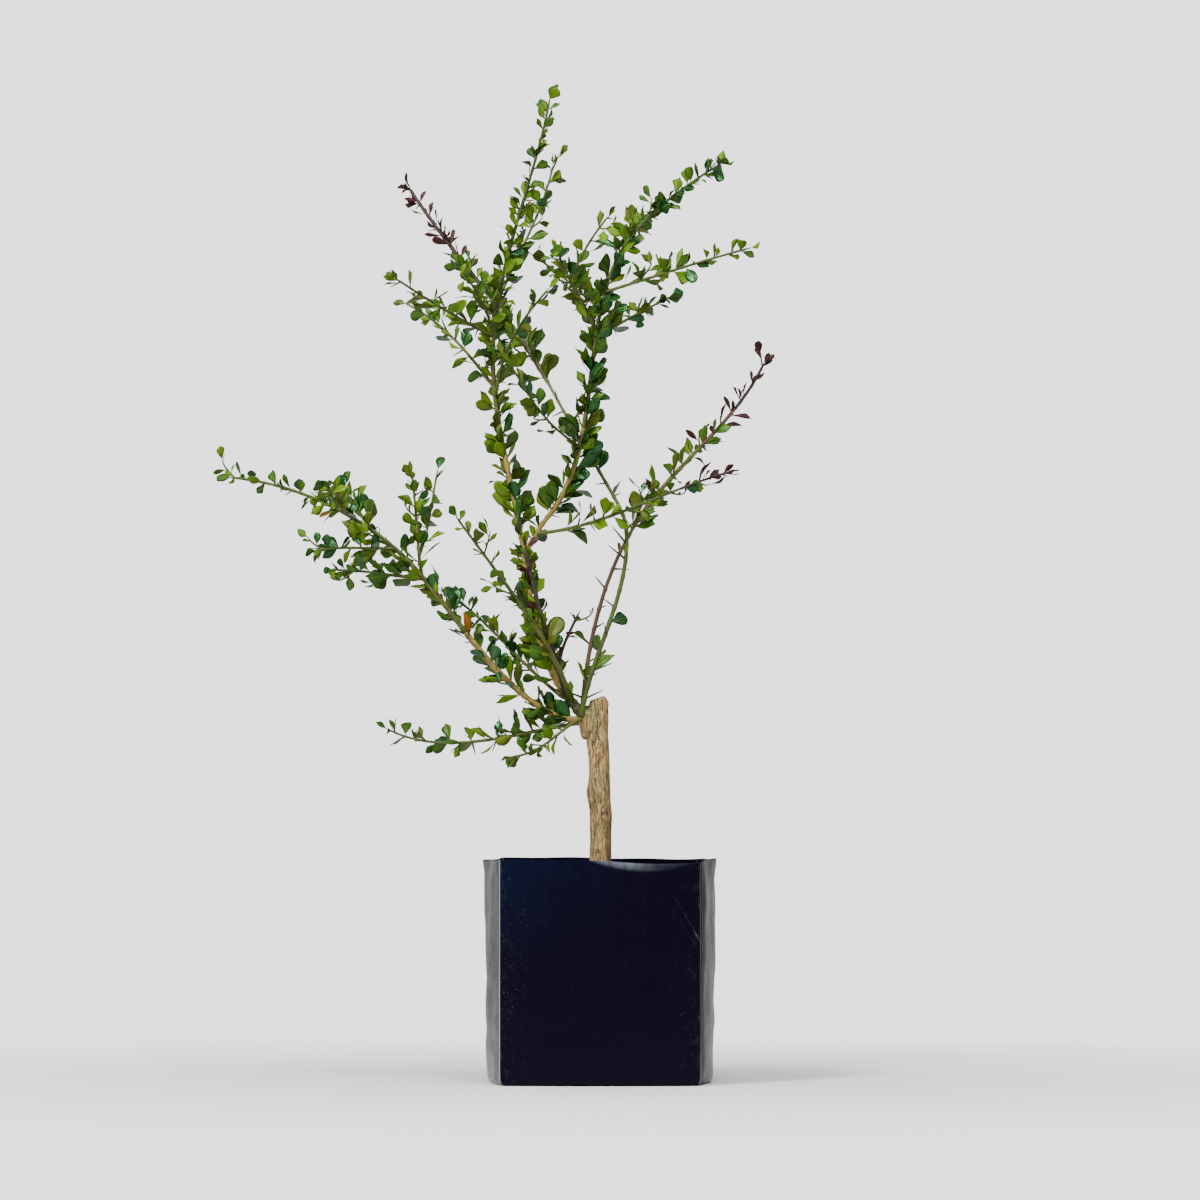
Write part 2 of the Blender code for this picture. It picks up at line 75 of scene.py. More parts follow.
class Gather:
    # Collects many small surfaces, which then become one joined mesh.
    def __init__(self):
        self.parts = []
        self.count = 0

    def add(self, points, places, quads, tris, kinds=()):
        self.parts.append((points, places, quads + self.count, tris + self.count, kinds))
        self.count += len(points)

    def addCopies(self, points, places, quads, tris=noTris, kinds=()):
        # one row of points for each copy, whose faces are the first copy's, shifted on
        shift = (np.arange(len(points)) * points.shape[1])[:, None, None]
        self.add(points.reshape(-1, 3), places.reshape(-1, 3), (quads + shift).reshape(-1, 4),
                 (tris + shift).reshape(-1, 3), kinds)

    def piece(self, name, materials, slotName, nodes, smooth=True):
        # One object at the origin; "place" holds each point's own pattern coordinates.
        points, places, quads, tris, kinds = [np.concatenate(part) for part in zip(*self.parts)]
        piece = newObject(name, points * millimetre, quads, tris, materials)
        mesh = piece.data
        place = mesh.attributes.new("place", "FLOAT_VECTOR", "POINT")
        place.data.foreach_set("vector", places.astype(np.float32).ravel())
        mesh.polygons.foreach_set("use_smooth", [smooth] * len(mesh.polygons))
        if len(kinds):
            mesh.polygons.foreach_set("material_index", kinds.astype(int))
        mesh.update()
        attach(piece, "root")
        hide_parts(*nodes)
        print(name, len(quads) * 2 + len(tris), "triangles")


def wrappedGrid(grid, places, foot=None, tip=None):
    # Faces of a grid that closes round on itself: rows run along, columns run round.
    # foot and tip are poles that close its ends.
    rows, columns = grid.shape[:2]
    around = np.arange(columns)
    after = (around + 1) % columns
    row = np.arange(rows - 1)[:, None] * columns
    corners = (row + around, row + after, row + columns + after, row + columns + around)
    quads = np.stack(corners, axis=-1).reshape(-1, 4)
    points = [grid.reshape(-1, 3)]
    spots = [places.reshape(-1, 3)]
    tris = [noTris]
    count = rows * columns
    last = count - columns
    for pole, end, ring in ((foot, 0, (after, around)), (tip, -1, (last + around, last + after))):
        if pole is not None:
            points.append([pole])
            spots.append([places[end].mean(axis=0)])
            tris.append(np.stack((np.full(columns, count), *ring), axis=-1))
            count += 1
    return np.concatenate(points), np.concatenate(spots), quads, np.concatenate(tris)


def closedPiece(name, material, slotName, nodes, *surface):
    # a piece of one wrapped grid
    gather = Gather()
    gather.add(*wrappedGrid(*surface))
    gather.piece(name, [material], slotName, nodes)


def stacked(*parts):
    # whole arrays as the parts of points, in rows and columns
    return np.stack(np.broadcast_arrays(*parts), axis=-1)


def unit(vectors):
    return vectors / np.linalg.norm(vectors, axis=-1, keepdims=True)


def ringRound(heading, steady, sides):
    # a ring of sides points, of radius 1, square to each heading, and their angles
    side = unit(np.cross(heading, steady))[:, None, :]
    other = np.cross(heading[:, None, :], side)
    turns = math.tau * np.arange(sides) / sides
    return side * np.cos(turns)[:, None] + other * np.sin(turns)[:, None], turns


def ripples(around, along, seed, count, turns, pitch):
    # relief = mean of count sine waves; each goes a whole number of turns round the piece, so
    # the seam closes, and has its own pitch in millimetres along it and its own phase.
    dice = np.random.default_rng(seed)
    total = np.zeros(np.broadcast(around, along).shape)
    for _ in range(count):
        wave = dice.integers(turns[0], turns[1] + 1) * dice.choice((-1, 1))
        reach = around * wave + along * math.tau / dice.uniform(*pitch)
        total += np.sin(reach + dice.uniform(0, math.tau))
    return total / math.sqrt(count)


def lumps(across, deep, seed, count, pitch):
    # relief = mean of count sine waves that run over a flat place in directions of their own.
    dice = np.random.default_rng(seed)
    total = np.zeros(np.broadcast(across, deep).shape)
    for _ in range(count):
        way = dice.uniform(0, math.tau)
        reach = across * math.cos(way) + deep * math.sin(way)
        total += np.sin(reach * math.tau / dice.uniform(*pitch) + dice.uniform(0, math.tau))
    return total / math.sqrt(count)


def hill(distance, width):
    # a smooth bump: 1 in the middle, falling away as e to the minus square of distance / width
    return np.exp(-(distance / width) ** 2)


def ease(low, high, value):
    # 0 below low, 1 above high, and an S curve, 3t² - 2t³, between them
    t = np.clip((value - low) / (high - low), 0, 1)
    return t * t * (3 - 2 * t)


class Wire:
    # A socket whose arithmetic adds Math nodes.
    def __init__(self, paint, socket):
        self.paint = paint
        self.socket = socket

    def calc(self, operation, *others, clamp=False):
        links = dict(enumerate((self, *others)))
        return self.paint.node("ShaderNodeMath", {"operation": operation, "use_clamp": clamp}, links)

    def __add__(self, other):
        return self.calc("ADD", other)

    def __sub__(self, other):
        return self.calc("SUBTRACT", other)

    def __rsub__(self, other):
        return self.paint.node("ShaderNodeMath", {"operation": "SUBTRACT"}, {0: other, 1: self})

    def __mul__(self, other):
        return self.calc("MULTIPLY", other)

    def __truediv__(self, other):
        return self.calc("DIVIDE", other)

    def __pow__(self, other):
        return self.calc("POWER", other)

    def __abs__(self):
        return self.calc("ABSOLUTE")

    __radd__ = __add__
    __rmul__ = __mul__

    def above(self, level, width):
        # 0 under the level, 1 over level + width, straight between them
        return ((self - level) / width).calc("ADD", 0.0, clamp=True)

    def under(self, level, width):
        # 1 under the level, 0 over level + width
        return 1 - self.above(level, width)


class Paint:
    # One material or world: any node comes from node(), the rest are short names for common ones.
    def __init__(self, name, kind=bpy.data.materials, **fixed):
        self.made = kind.new(name)
        self.made.use_nodes = True
        self.tree = self.made.node_tree
        for key, value in fixed.items():
            self.set(key.replace("_", " "), value)

    def node(self, kind, settings=None, links=None, out=0):
        made = self.tree.nodes.new(kind)
        for key, value in (settings or {}).items():
            setattr(made, key, value)
        for key, value in (links or {}).items():
            self.plug(made.inputs[key], value)
        return Wire(self, made.outputs[out])

    def plug(self, socket, value):
        if isinstance(value, Wire):
            self.tree.links.new(value.socket, socket)
        elif isinstance(value, tuple) and len(value) == 3 and socket.type == "RGBA":
            socket.default_value = (*value, 1)
        else:
            socket.default_value = value

    def set(self, key, value):
        self.plug(self.tree.nodes["Principled BSDF"].inputs[key], value)

    def here(self, size=(1, 1, 1)):
        # Object coordinates in metres, multiplied by size on each axis
        spot = self.node("ShaderNodeTexCoord", out=3)
        return self.node("ShaderNodeMapping", None, {"Vector": spot, "Scale": size})

    def place(self, size=(1, 1, 1)):
        # the piece's own pattern coordinates, multiplied by size on each axis
        spot = self.node("ShaderNodeAttribute", {"attribute_name": "place"}, out=1)
        return self.node("ShaderNodeMapping", None, {"Vector": spot, "Scale": size})

    def noise(self, scale, detail=2.0, roughness=0.5, swirl=0.0, tall=1.0, spot=None):
        # a value under 1 for tall draws the pattern out upwards
        links = {"Vector": spot or self.here((1, 1, tall)), "Scale": scale, "Detail": detail,
                 "Roughness": roughness, "Distortion": swirl}
        return self.node("ShaderNodeTexNoise", None, links)

    def parts(self, spot):
        made = self.node("ShaderNodeSeparateXYZ", None, {0: spot})
        return [Wire(self, output) for output in made.socket.node.outputs]

    def blend(self, factor, first, second):
        links = {0: factor, 6: first, 7: second}
        return self.node("ShaderNodeMix", {"data_type": "RGBA"}, links, out=2)

    def layers(self, colour, *more):
        # each further layer is how much of it shows and its colour
        for share, tint in more:
            colour = self.blend(share, colour, tint)
        return colour

    def finish(self, colour, roughness, relief=None, strength=0.0, distance=0.0):
        # what the shader varies by: a bump's distance is in millimetres
        self.set("Base Color", colour)
        self.set("Roughness", roughness)
        if relief:
            links = {"Height": relief, "Strength": strength, "Distance": distance * millimetre}
            self.set("Normal", self.node("ShaderNodeBump", None, links))
        return self.made


def shade(colour, factor):
    return tuple(part * factor for part in colour)


def mixed(first, second, share):
    return tuple(a + (b - a) * share for a, b in zip(first, second))


def shoot(node, parent, at, leave, knots, foot, spacing=0, bare=0.08, **other):
    usual = {"tip": 0.9, "twigs": 0.12, "bark": ("olive", "green"), "mix": "mixed", "thorn": 11,
             "joint": 16, "leafy": 1, "bushy": 0.4, "stout": 1.2}
    limb = usual | {"node": node, "parent": parent, "at": at, "leave": leave, "spacing": spacing,
                    "bare": bare} | other
    limb["knots"] = [(knots[i:i + 3], knots[i + 3:i + 6]) for i in range(0, len(knots), 6)]
    limb["radii"] = (foot, limb["tip"])
    return limb


oldToYoung = ("tan", "olive", "green", "green")


# A shoot leaves its parent at a share of its length, and runs through its knots, six numbers each,
# a place and a heading. foot and tip are its radii, spacing is from leaf to leaf, bark is from foot
# to tip, mix names its leaves' tints, thorn is a length, joint is from joint to joint on a bough,
# bushy is how many more leaves a joint bears, and stout thickens the bark of a thin shoot.
limbs = {
    "stub": shoot("bough_main", "collar", 0, (-70, 0, 71), (-39, -1, 393, -56, 0, 83), 4.8, tip=4.1,
        bark=("dark",), mix="leader", thorn=6, joint=8, bushy=1),
    "leader": shoot("bough_leader", "stub", 1, None, (-78, 15, 537, -16, 5, 99), 3.1, tip=2.6,
        bark=("tan",), mix="leader", joint=7, bushy=3),
    "leader_top": shoot("mass_leader", "leader", 1, None,
        (-107, 35, 748, 8, -5, 99, -50, -30, 980, 18, -10, 98), 2.5, 10, bark=oldToYoung, mix="leader",
        joint=8, bushy=1.7),
    "leader_second": shoot("mass_leader", "leader_top", 0.54, (35, 30, 90), (-48, 95, 925, 20, 25, 97),
        1.3, 13),
    "leader_left_high": shoot("mass_leader", "leader_top", 0.46, (-90, -30, 44),
        (-203, -66, 797, -80, -30, 50), 1.4, 12),
    "leader_left_back": shoot("mass_leader", "leader_top", 0.35, (-60, 50, 80),
        (-198, 113, 786, -90, 50, 48), 1.5, 12),
    "leader_left_top": shoot("mass_leader", "leader_top", 0.46, (-20, -30, 90),
        (-143, -22, 817, -55, -20, 80), 1.2, 14),
    "leader_inner": shoot("mass_leader", "leader_top", 0.32, (10, -30, 100),
        (-51, -60, 787, 65, -30, 70), 1.3, 15),
    "leader_rear": shoot("mass_leader", "leader_top", 0.43, (0, 90, 40), (-106, 190, 792, 0, 80, 60),
        1.4, 12),
    "red": shoot("mass_red", "stub", 0.9, (-30, -45, 84), (-74, -13, 533, -15, 5, 99), 2.2, 9, 0.2,
        tip=1, bark=("red",), mix="red", bushy=0.8, stout=1.5),
    "red_spur": shoot("mass_red", "red", 0.15, (10, -30, 90), (-21, -45, 466, 40, -30, 85), 1.2, 18,
        bark=("red",), mix="buds", bushy=3, stout=1.5),
    "front_left": shoot("mass_front_left", "stub", 0.7, (-20, -75, 70), (-141, -126, 558, -50, -50, 70),
        2.4, 11, 0.2),
    "inner_left": shoot("mass_inner_left", "stub", 0.75, (-75, 25, 55), (-154, 46, 488, -80, 40, 50),
        1.7, 10, 0.15, mix="glossy"),
    "left": shoot("bough_left", "collar", 0, (-100, -8, -3), (-70, -6, 380, -80, -10, 60), 3.2, tip=2.8,
        bark=("tan",), mix="glossy", joint=7, bushy=1.9),
    "left_top": shoot("mass_left", "left", 1, None,
        (-180, -25, 506, -65, -10, 75, -366, -50, 600, -99, -10, 8), 2.7, 9, 0.05, tip=1,
        bark=oldToYoung, mix="glossy", joint=8, bushy=0.3),
    "left_front": shoot("mass_left", "left_top", 0.53, (-93, -35, -2), (-280, -97, 526, -92, -30, -14),
        1.3, 13, mix="glossy"),
    "left_lower": shoot("mass_left", "left_top", 0.42, (-93, 30, 8), (-268, 30, 511, -95, 25, 0), 1.5,
        10, mix="glossy"),
    "left_upright": shoot("mass_left", "left_top", 0.43, (-15, 10, 99), (-188, -15, 604, -15, 5, 99),
        1.5, 10),
    "left_upright_thin": shoot("mass_left", "left_upright", 0.2, (30, 40, 85),
        (-163, 26, 612, 20, 5, 98), 1.1, 15, tip=0.85),
    "left_spray_front": shoot("mass_left", "left_top", 0.66, (-30, -90, 20),
        (-268, -135, 588, -20, -85, 40), 1.3, 11),
    "left_spray_rear": shoot("mass_left", "left_top", 0.6, (-20, 90, 25), (-262, 75, 598, -30, 85, 45),
        1.3, 11),
    "low": shoot("mass_low", "collar", 0, (-90, 42, -12), (-216, 76, 352, -85, 25, 45), 1.8, 11, 0.12,
        thorn=16),
    "low_front": shoot("mass_low_front", "collar", 0, (-62, -75, -22), (-88, -80, 323, -90, -35, -5),
        1.4, 10, 0.25, thorn=13),
    "right": shoot("bough_right", "leader", 0.97, (78, -20, 58), (-55, 7, 560, 70, -30, 72), 2.6,
        tip=2.4, bark=("tan",), joint=10, bushy=2),
    "right_top": shoot("mass_right", "right", 1, None,
        (-8, -25, 711, 12, -10, 99, 12, -40, 807, 35, -10, 93, 119, -75, 910, 80, -20, 50), 2.4, 8.5,
        0.04, bark=oldToYoung, mix="glossy", joint=8, bushy=2),
    "right_outer": shoot("mass_right", "right_top", 0.575, (90, -40, 25), (148, -125, 822, 88, -40, 20),
        1.4, 13, thorn=5),
    "right_rear": shoot("mass_right", "right_top", 0.46, (75, 40, 55), (72, 42, 788, 80, 30, 45), 1.4,
        10, mix="glossy"),
    "right_front": shoot("mass_right", "right_top", 0.47, (-25, -60, 75),
        (-42, -140, 818, -30, -50, 80), 1.4, 11, bushy=0.8),
    "right_front_side": shoot("mass_right", "right_front", 0.7, (40, -30, 85),
        (8, -165, 849, 60, -30, 70), 1.1, 16, tip=0.85),
    "right_crossing": shoot("mass_right", "right_top", 0.53, (-65, 50, 60), (-70, 70, 833, -70, 50, 50),
        1.1, 15, tip=0.85),
    "right_thin": shoot("mass_right", "right_top", 0.2, (-75, -50, 45), (-89, -110, 710, -45, -50, 75),
        1.1, 16, tip=0.85, bushy=1.2),
    "right_high_rear": shoot("mass_right", "right_top", 0.72, (10, 85, 45), (42, 85, 868, 15, 80, 50),
        1.3, 11),
    "crossing": shoot("mass_crossing", "right", 0.6, (85, -50, 5), (129, -70, 605, 92, -25, 25), 1.6,
        12, 0.1, bark=("olive", "green", "green", "red")),
    "green": shoot("bough_green", "collar", 0, (16, -22, 96), (26, -5, 552, -10, 5, 99), 2.5, tip=2,
        bark=("green",), thorn=25, joint=17, leafy=0.6),
    "green_top": shoot("mass_green", "green", 0.95, (40, -50, 75), (50, -38, 588, 60, -20, 75), 1.3, 9),
    "grey": shoot("bough_grey", "green", 1, None, (17, 3, 578, -45, 25, 83, -48, 70, 694, -42, 40, 82),
        1.9, tip=1.5, bark=("green", "olive", "grey"), joint=18, leafy=0.6, thorn=12),
    "grey_top": shoot("mass_grey", "grey", 1, None, (-197, 178, 911, -50, 35, 80), 1.5, 14,
        bark=("grey", "grey", "red", "red"), mix="tips", bushy=3.5, stout=1.9),
    "brown": shoot("bough_brown", "collar", 0, (6, 30, 95), (31, 25, 549, 50, 10, 86), 2.4, tip=1.8,
        bark=("brown",), thorn=20, joint=19, leafy=0.5),
    "brown_top": shoot("mass_brown", "brown", 1, None, (167, 106, 724, 42, 25, 88), 1.7, 18,
        bark=("brown", "olive", "brown", "red"), mix="tips", bushy=1.6, stout=1.6),
}

collar = {"centre": Vector((-12, 0, 361)), "radii": Vector((12, 15, 16)), "sunk": 5.0}

# where on the collar each of its shoots sits, as a direction from its centre
collarSeats = {
    "stub": (-72, 0, 70), "left": (-99, -6, -12), "low": (-70, 66, -30),
    "low_front": (-66, -74, -8), "green": (-38, -60, 72), "brown": (-38, 60, 72),
}

foliage = {
    "jointStride": 1.06,  # the first leaves stand where the solids have theirs
    "length": (15.0, 23.0), "shrink": (1.18, 0.8), "width": 0.56, "widest": 0.62,
    "turn": math.radians(137.5), "lean": (math.radians(36), math.radians(74)),
    "lift": 0.25, "roll": math.radians(75), "clear": 1.0,
    "twigLength": (12.0, 26.0), "twigLean": math.radians(50), "twigRadii": (1.1, 0.85),
    "twigSpacing": 7.0, "lineStep": 2.0, "handle": 1 / 3,
    "pairChance": 0.95, "thirdChance": 0.45, "boughLeafChance": 0.85,
    "openEnd": 0.5, "swing": 0.4, "jitter": (0.75, 1.25), "widthSpread": (0.8, 1.15),
    # where beside the first leaf of a joint the second, third and later ones may stand
    "pairSwings": (math.pi, 1.5, -1.5), "thirdSwings": (0.7, -0.7), "bushySwings": (2.3, -2.3, 0.3),
}

trunk = {
    "soilTop": 201.0, "top": 383.0, "cutSlope": 0.36, "collarCentre": Vector((-12, 0, 357.5)),
    "collarRadii": Vector((8.6, 9.5, 17.0)),
    # height over the soil, radius and sideways lean
    "rings": ((-14, 14.0, 0.0), (0.3, 12.8, 0.0), (9.0, 11.2, 0.2), (24.0, 10.2, 0.6), (60.0, 10.0, 0.4),
              (88.0, 10.6, -0.8), (120.0, 10.0, -1.2), (150.0, 9.8, -1.8), (182.0, 9.3, -1.0)),
    # angle round the stem and width there, size, height and width along it
    "knots": ((math.pi, 0.7, 1.6, 288, 9), (0, 0.7, 1.5, 265, 12), (math.pi, 0.7, 0.9, 336, 9),
              (math.pi, 0.7, -0.8, 312, 12), (-math.pi / 2, 0.5, 0.7, 325, 3),
              (-math.pi / 2, 0.5, 0.7, 263, 3)),
    "scars": ((0.0025, -0.0105, 0.325), (0.003, -0.0105, 0.263)),  # metres
    # seed, number of waves, their turns round the stem and their pitch along it
    "furrows": (5, 16, (3, 13), (28, 160)), "plates": (6, 9, (1, 5), (25, 90)),
    "fibres": (7, 16, (14, 34), (12, 60)), "columns": 120, "rows": 260,
}


def spotAt(line, distance):
    return [np.interp(distance, line["reach"], line["points"][:, axis]) for axis in range(3)]


def along(line, distance):
    # place and heading at a distance along a line
    ahead, behind = Vector(spotAt(line, distance + 1)), Vector(spotAt(line, distance - 1))
    return Vector(spotAt(line, distance)), (ahead - behind).normalized()


def radiusAt(line, distance):
    share = distance / line["reach"][-1]
    return line["radii"][0] + (line["radii"][1] - line["radii"][0]) * share


def makeLine(start, leave, knots, radii):
    # Each span is the cubic u³A + 3u²tB + 3ut²C + t³D, whose handles B and C keep both headings.
    points = [np.array([tuple(start)])]
    heading = leave.normalized()
    for place, arrive in knots:
        end = Vector(place)
        arrive = Vector(arrive).normalized()
        handle = (end - start).length * foliage["handle"]
        count = max(4, round((end - start).length / foliage["lineStep"]))
        t = (np.arange(1, count + 1) / count)[:, None]
        u = 1 - t
        points.append(u**3 * np.array(start) + 3 * u * u * t * np.array(start + heading * handle)
                      + 3 * u * t * t * np.array(end - arrive * handle) + t**3 * np.array(end))
        start = end
        heading = arrive
    points = np.concatenate(points)
    lengths = np.linalg.norm(np.diff(points, axis=0), axis=1)
    return {"points": points, "reach": np.concatenate([[0.0], np.cumsum(lengths)]), "radii": radii}


def limbStart(name, limb, lines):
    # where a limb begins and its heading: in the collar, in or beside its parent, or past its tip
    if limb["parent"] == "collar":
        leave = Vector(limb["leave"]).normalized()
        seat = Vector(collarSeats[name])
        scaled = Vector([d / r for d, r in zip(seat, collar["radii"])])
        return collar["centre"] + seat / scaled.length - leave * collar["sunk"], leave
    line = lines[limb["parent"]]
    distance = limb["at"] * line["reach"][-1]
    spot, heading = along(line, distance)
    if not limb["leave"]:
        return spot + heading * gap, heading
    leave = Vector(limb["leave"]).normalized()
    if limbs[limb["parent"]]["node"] == limb["node"]:
        return spot, leave
    slant = leave.dot(heading)
    outward = (leave - heading * slant).normalized()
    clear = radiusAt(line, distance) + limb["radii"][0] * slant + gap
    return spot + outward * clear, leave


def layLines():
    lines = {}
    for name, limb in limbs.items():
        start, leave = limbStart(name, limb, lines)
        lines[name] = makeLine(start, leave, limb["knots"], limb["radii"])
    return lines


def samplesOf(lines):
    # every limb's points and radii by node, for telling how near a leaf comes
    spots = {}
    for name, limb in limbs.items():
        line = lines[name]
        rows = np.column_stack([line["points"], np.linspace(*line["radii"], len(line["points"]))])
        spots[limb["node"]] = np.vstack([spots.get(limb["node"], np.empty((0, 4))), rows])
    rings = np.array(trunk["rings"][2:])
    heights = np.arange(trunk["soilTop"], trunk["top"] + 4, 4.0)
    over = heights - trunk["soilTop"]
    lean = np.interp(over, rings[:, 0], rings[:, 2])
    radii = np.interp(over, rings[:, 0], rings[:, 1])
    spots["trunk"] = np.column_stack([lean, np.zeros(len(lean)), heights, radii])
    spots["collar"] = np.array([(*collar["centre"], max(collar["radii"]))])
    return spots


def nearest(points, rows):
    away = np.linalg.norm(points[:, None, :] - rows[None, :, :3], axis=2)
    return (away - rows[None, :, 3]).min(axis=1)


def isFree(points, node, spots, parted=True):
    # true where points are clear of every other limb, and if parted also nearer to their own
    # mass's stems than to another mass's
    points = np.array([tuple(point) for point in points])
    own = nearest(points, spots[node])
    for other, rows in spots.items():
        if other == node:
            continue
        margin = foliage["clear"] + own * (parted and other.startswith("mass"))
        if (nearest(points, rows) < margin).any():
            return False
    return True


def sideways(heading):
    side = heading.cross(up)
    return side.normalized() if side.length > 0.1 else heading.cross(Vector((0, 1, 0))).normalized()


def leafAt(dice, spot, heading, turn, share):
    # one leaf: root, direction, blade normal, length and width
    outward = Matrix.Rotation(turn, 3, heading) @ sideways(heading)
    lean = dice.uniform(*foliage["lean"])
    direction = heading * math.cos(lean) + outward * math.sin(lean)
    direction = (direction + up * foliage["lift"]).normalized()
    normal = direction.cross(heading.cross(direction)).normalized()
    roll = dice.uniform(-foliage["roll"], foliage["roll"])
    normal = direction.cross(Matrix.Rotation(roll, 3, direction) @ normal)
    shrink = foliage["shrink"][0] + (foliage["shrink"][1] - foliage["shrink"][0]) * share
    length = dice.uniform(*foliage["length"]) * shrink
    return {"root": spot, "along": direction, "normal": normal.normalized(), "length": length,
            "width": length * foliage["width"] * dice.uniform(*foliage["widthSpread"]), "share": share}


def leafProbe(leaf):
    side = leaf["along"].cross(leaf["normal"]) * leaf["width"] / 2
    widest = leaf["root"] + leaf["along"] * leaf["length"] * foliage["widest"]
    tip = leaf["root"] + leaf["along"] * leaf["length"]
    corners = [leaf["root"], tip, widest + side, widest - side]
    ways = ((0, 1), (0, 2), (0, 3), (1, 2), (1, 3))
    return [corners[a].lerp(corners[b], t) for a, b in ways for t in (0.35, 0.55, 0.8, 1.0)]


def twigLeaves(dice, twig):
    turn = dice.uniform(0, math.tau)
    last = twig["reach"][-1] - 1
    leaves = []
    for distance in np.arange(foliage["twigSpacing"], last, foliage["twigSpacing"]):
        turn += foliage["turn"]
        leaves.append(leafAt(dice, *along(twig, distance), turn, 1))
    return leaves + [leafAt(dice, *along(twig, last), turn, 1)]


def jointsAlong(dice, first, end, step):
    # each joint's distance and turn; the step to the next one is drawn once a joint is done
    turn = dice.uniform(0, math.tau)
    distance = first
    while distance < end:
        turn += foliage["turn"]
        yield distance, turn
        distance += step * dice.uniform(*foliage["jitter"])


def growMass(name, limb, line, spots):
    # The seeded rule: leaves turn round the limb joint by joint, and some joints bear a twig.
    dice = random.Random(name)
    twigs, leaves, joints = [], [], []
    length = line["reach"][-1]
    stride = limb["spacing"] * foliage["jointStride"]
    lean = foliage["twigLean"]
    for distance, turn in jointsAlong(dice, limb["bare"] * length + stride * 0.5, length - 2, stride):
        spot, heading = along(line, distance)
        joints.append((distance, turn))
        leaves.append(leafAt(dice, spot, heading, turn, distance / length))
        if dice.random() < limb["twigs"]:
            outward = Matrix.Rotation(turn + math.pi, 3, heading) @ sideways(heading)
            way = heading * math.cos(lean) + outward * math.sin(lean)
            tip = spot + (way + up * foliage["lift"]) * dice.uniform(*foliage["twigLength"])
            twig = makeLine(spot, way, ((tip, way + up),), foliage["twigRadii"])
            if isFree(twig["points"], limb["node"], spots):
                twigs.append(twig)
                leaves += twigLeaves(dice, twig)
    spot, heading = along(line, length - 1)
    leaves.append(leafAt(dice, spot, heading, turn, 1) | {"along": heading})
    return twigs, leaves, joints


def growPairs(name, limb, line, joints):
    # the finer growth: many joints bear more leaves, on the other side or beside the first
    dice = random.Random(name + " pairs")
    tries = [(foliage[key + "Chance"], foliage[key + "Swings"]) for key in ("pair", "third")]
    more = range(math.ceil(limb["bushy"]))
    tries += [(limb["bushy"] - number, foliage["bushySwings"]) for number in more]
    leaves = []
    for distance, turn in joints:
        share = distance / line["reach"][-1]
        for chance, swings in tries:
            if dice.random() < chance * (1 - foliage["openEnd"] * share):
                place = min(distance + dice.uniform(0.5, 5.0), line["reach"][-1] - 1)
                swing = dice.choice(swings) + dice.uniform(-foliage["swing"], foliage["swing"])
                leaves.append(leafAt(dice, *along(line, place), turn + swing, share))
    return leaves


def growBough(name, limb, line, end):
    # what the solids leave bare, a bough or a mass's foot, has joints too, and many bear a leaf
    dice = random.Random(name)
    leaves, joints = [], []
    for distance, turn in jointsAlong(dice, limb["joint"] * 0.8, end, limb["joint"]):
        joints.append((distance, turn))
        if dice.random() < foliage["boughLeafChance"] * limb["leafy"]:
            leaves.append(leafAt(dice, *along(line, distance), turn, distance / line["reach"][-1]))
    return leaves, joints


thorn = {
    "chance": 0.9, "fan": 0.5,  # fan under 1 turns them from front and back to the sides
    "lean": (math.radians(50), math.radians(75)), "length": (0.6, 1.15), "thick": (0.7, 0.03),
    "stations": (0.0, 0.45, 0.88), "sides": 5, "taper": 0.4,
}


def growThorns(name, limb, line, joints):
    # a straight thorn stands in the axil of many joints
    dice = random.Random(name + " thorns")
    thorns = []
    for distance, turn in joints:
        if dice.random() > thorn["chance"]:
            continue
        spot, heading = along(line, distance + 1.0)
        outward = Matrix.Rotation(turn + dice.uniform(-0.3, 0.3), 3, heading) @ sideways(heading)
        outward.y *= thorn["fan"]
        outward.normalize()
        lean = dice.uniform(*thorn["lean"])
        direction = heading * math.cos(lean) + outward * math.sin(lean)
        length = limb["thorn"] * dice.uniform(*thorn["length"])
        thick = thorn["thick"][0] + length * thorn["thick"][1]
        thorns.append((*spot, *direction, length + radiusAt(line, distance), thick))
    return thorns


stems = {
    "ringStep": 2.0, "boughRingStep": 1.4, "twigRingStep": 3.0, "shootSides": 9, "boughSides": 14,
    "twigSides": 6, "swell": 0.18, "swellWidth": 2.2, "ridges": 0.025,
    "ridgeWaves": (7, (1, 5), (9, 60)), "flare": 0.25, "flareReach": 8.0, "joinReach": 30.0,
    "budReach": 7.0, "budTaper": 0.45, "overlap": 2.5, "collarDrop": 5.0, "collarAxis": -8.0,
    "patternShift": 31.0, "patterns": 97,  # moves each limb's bark pattern along
}


def rootedLine(name, limb, lines):
    # the line its bark follows: the foot is bent on into the limb that it grows from
    line = lines[name]
    start = Vector(line["points"][0])
    leave = along(line, 1.0)[1]
    parent = lines.get(limb["parent"])
    join = None
    if not parent:
        inside = Vector((stems["collarAxis"], 0, start.z - stems["collarDrop"]))
    elif not limb["leave"]:
        inside = start - leave * stems["overlap"]
        join = parent["radii"][1] * bulkOf(limbs[limb["parent"]]) / line["radii"][0]
    elif limbs[limb["parent"]]["node"] == limb["node"]:
        return line | {"foot": 0.0, "join": None}
    else:
        inside = along(parent, limb["at"] * parent["reach"][-1] - 2 * line["radii"][0])[0]
    foot = makeLine(inside, start - inside, ((start, leave),), line["radii"])
    points = np.concatenate([foot["points"][:-1], line["points"]])
    reach = np.concatenate([foot["reach"][:-1], line["reach"] + foot["reach"][-1]])
    return line | {"points": points, "reach": reach, "foot": foot["reach"][-1], "join": join}


def bulkOf(limb):
    return limb["stout"] if limb["spacing"] else 1.0


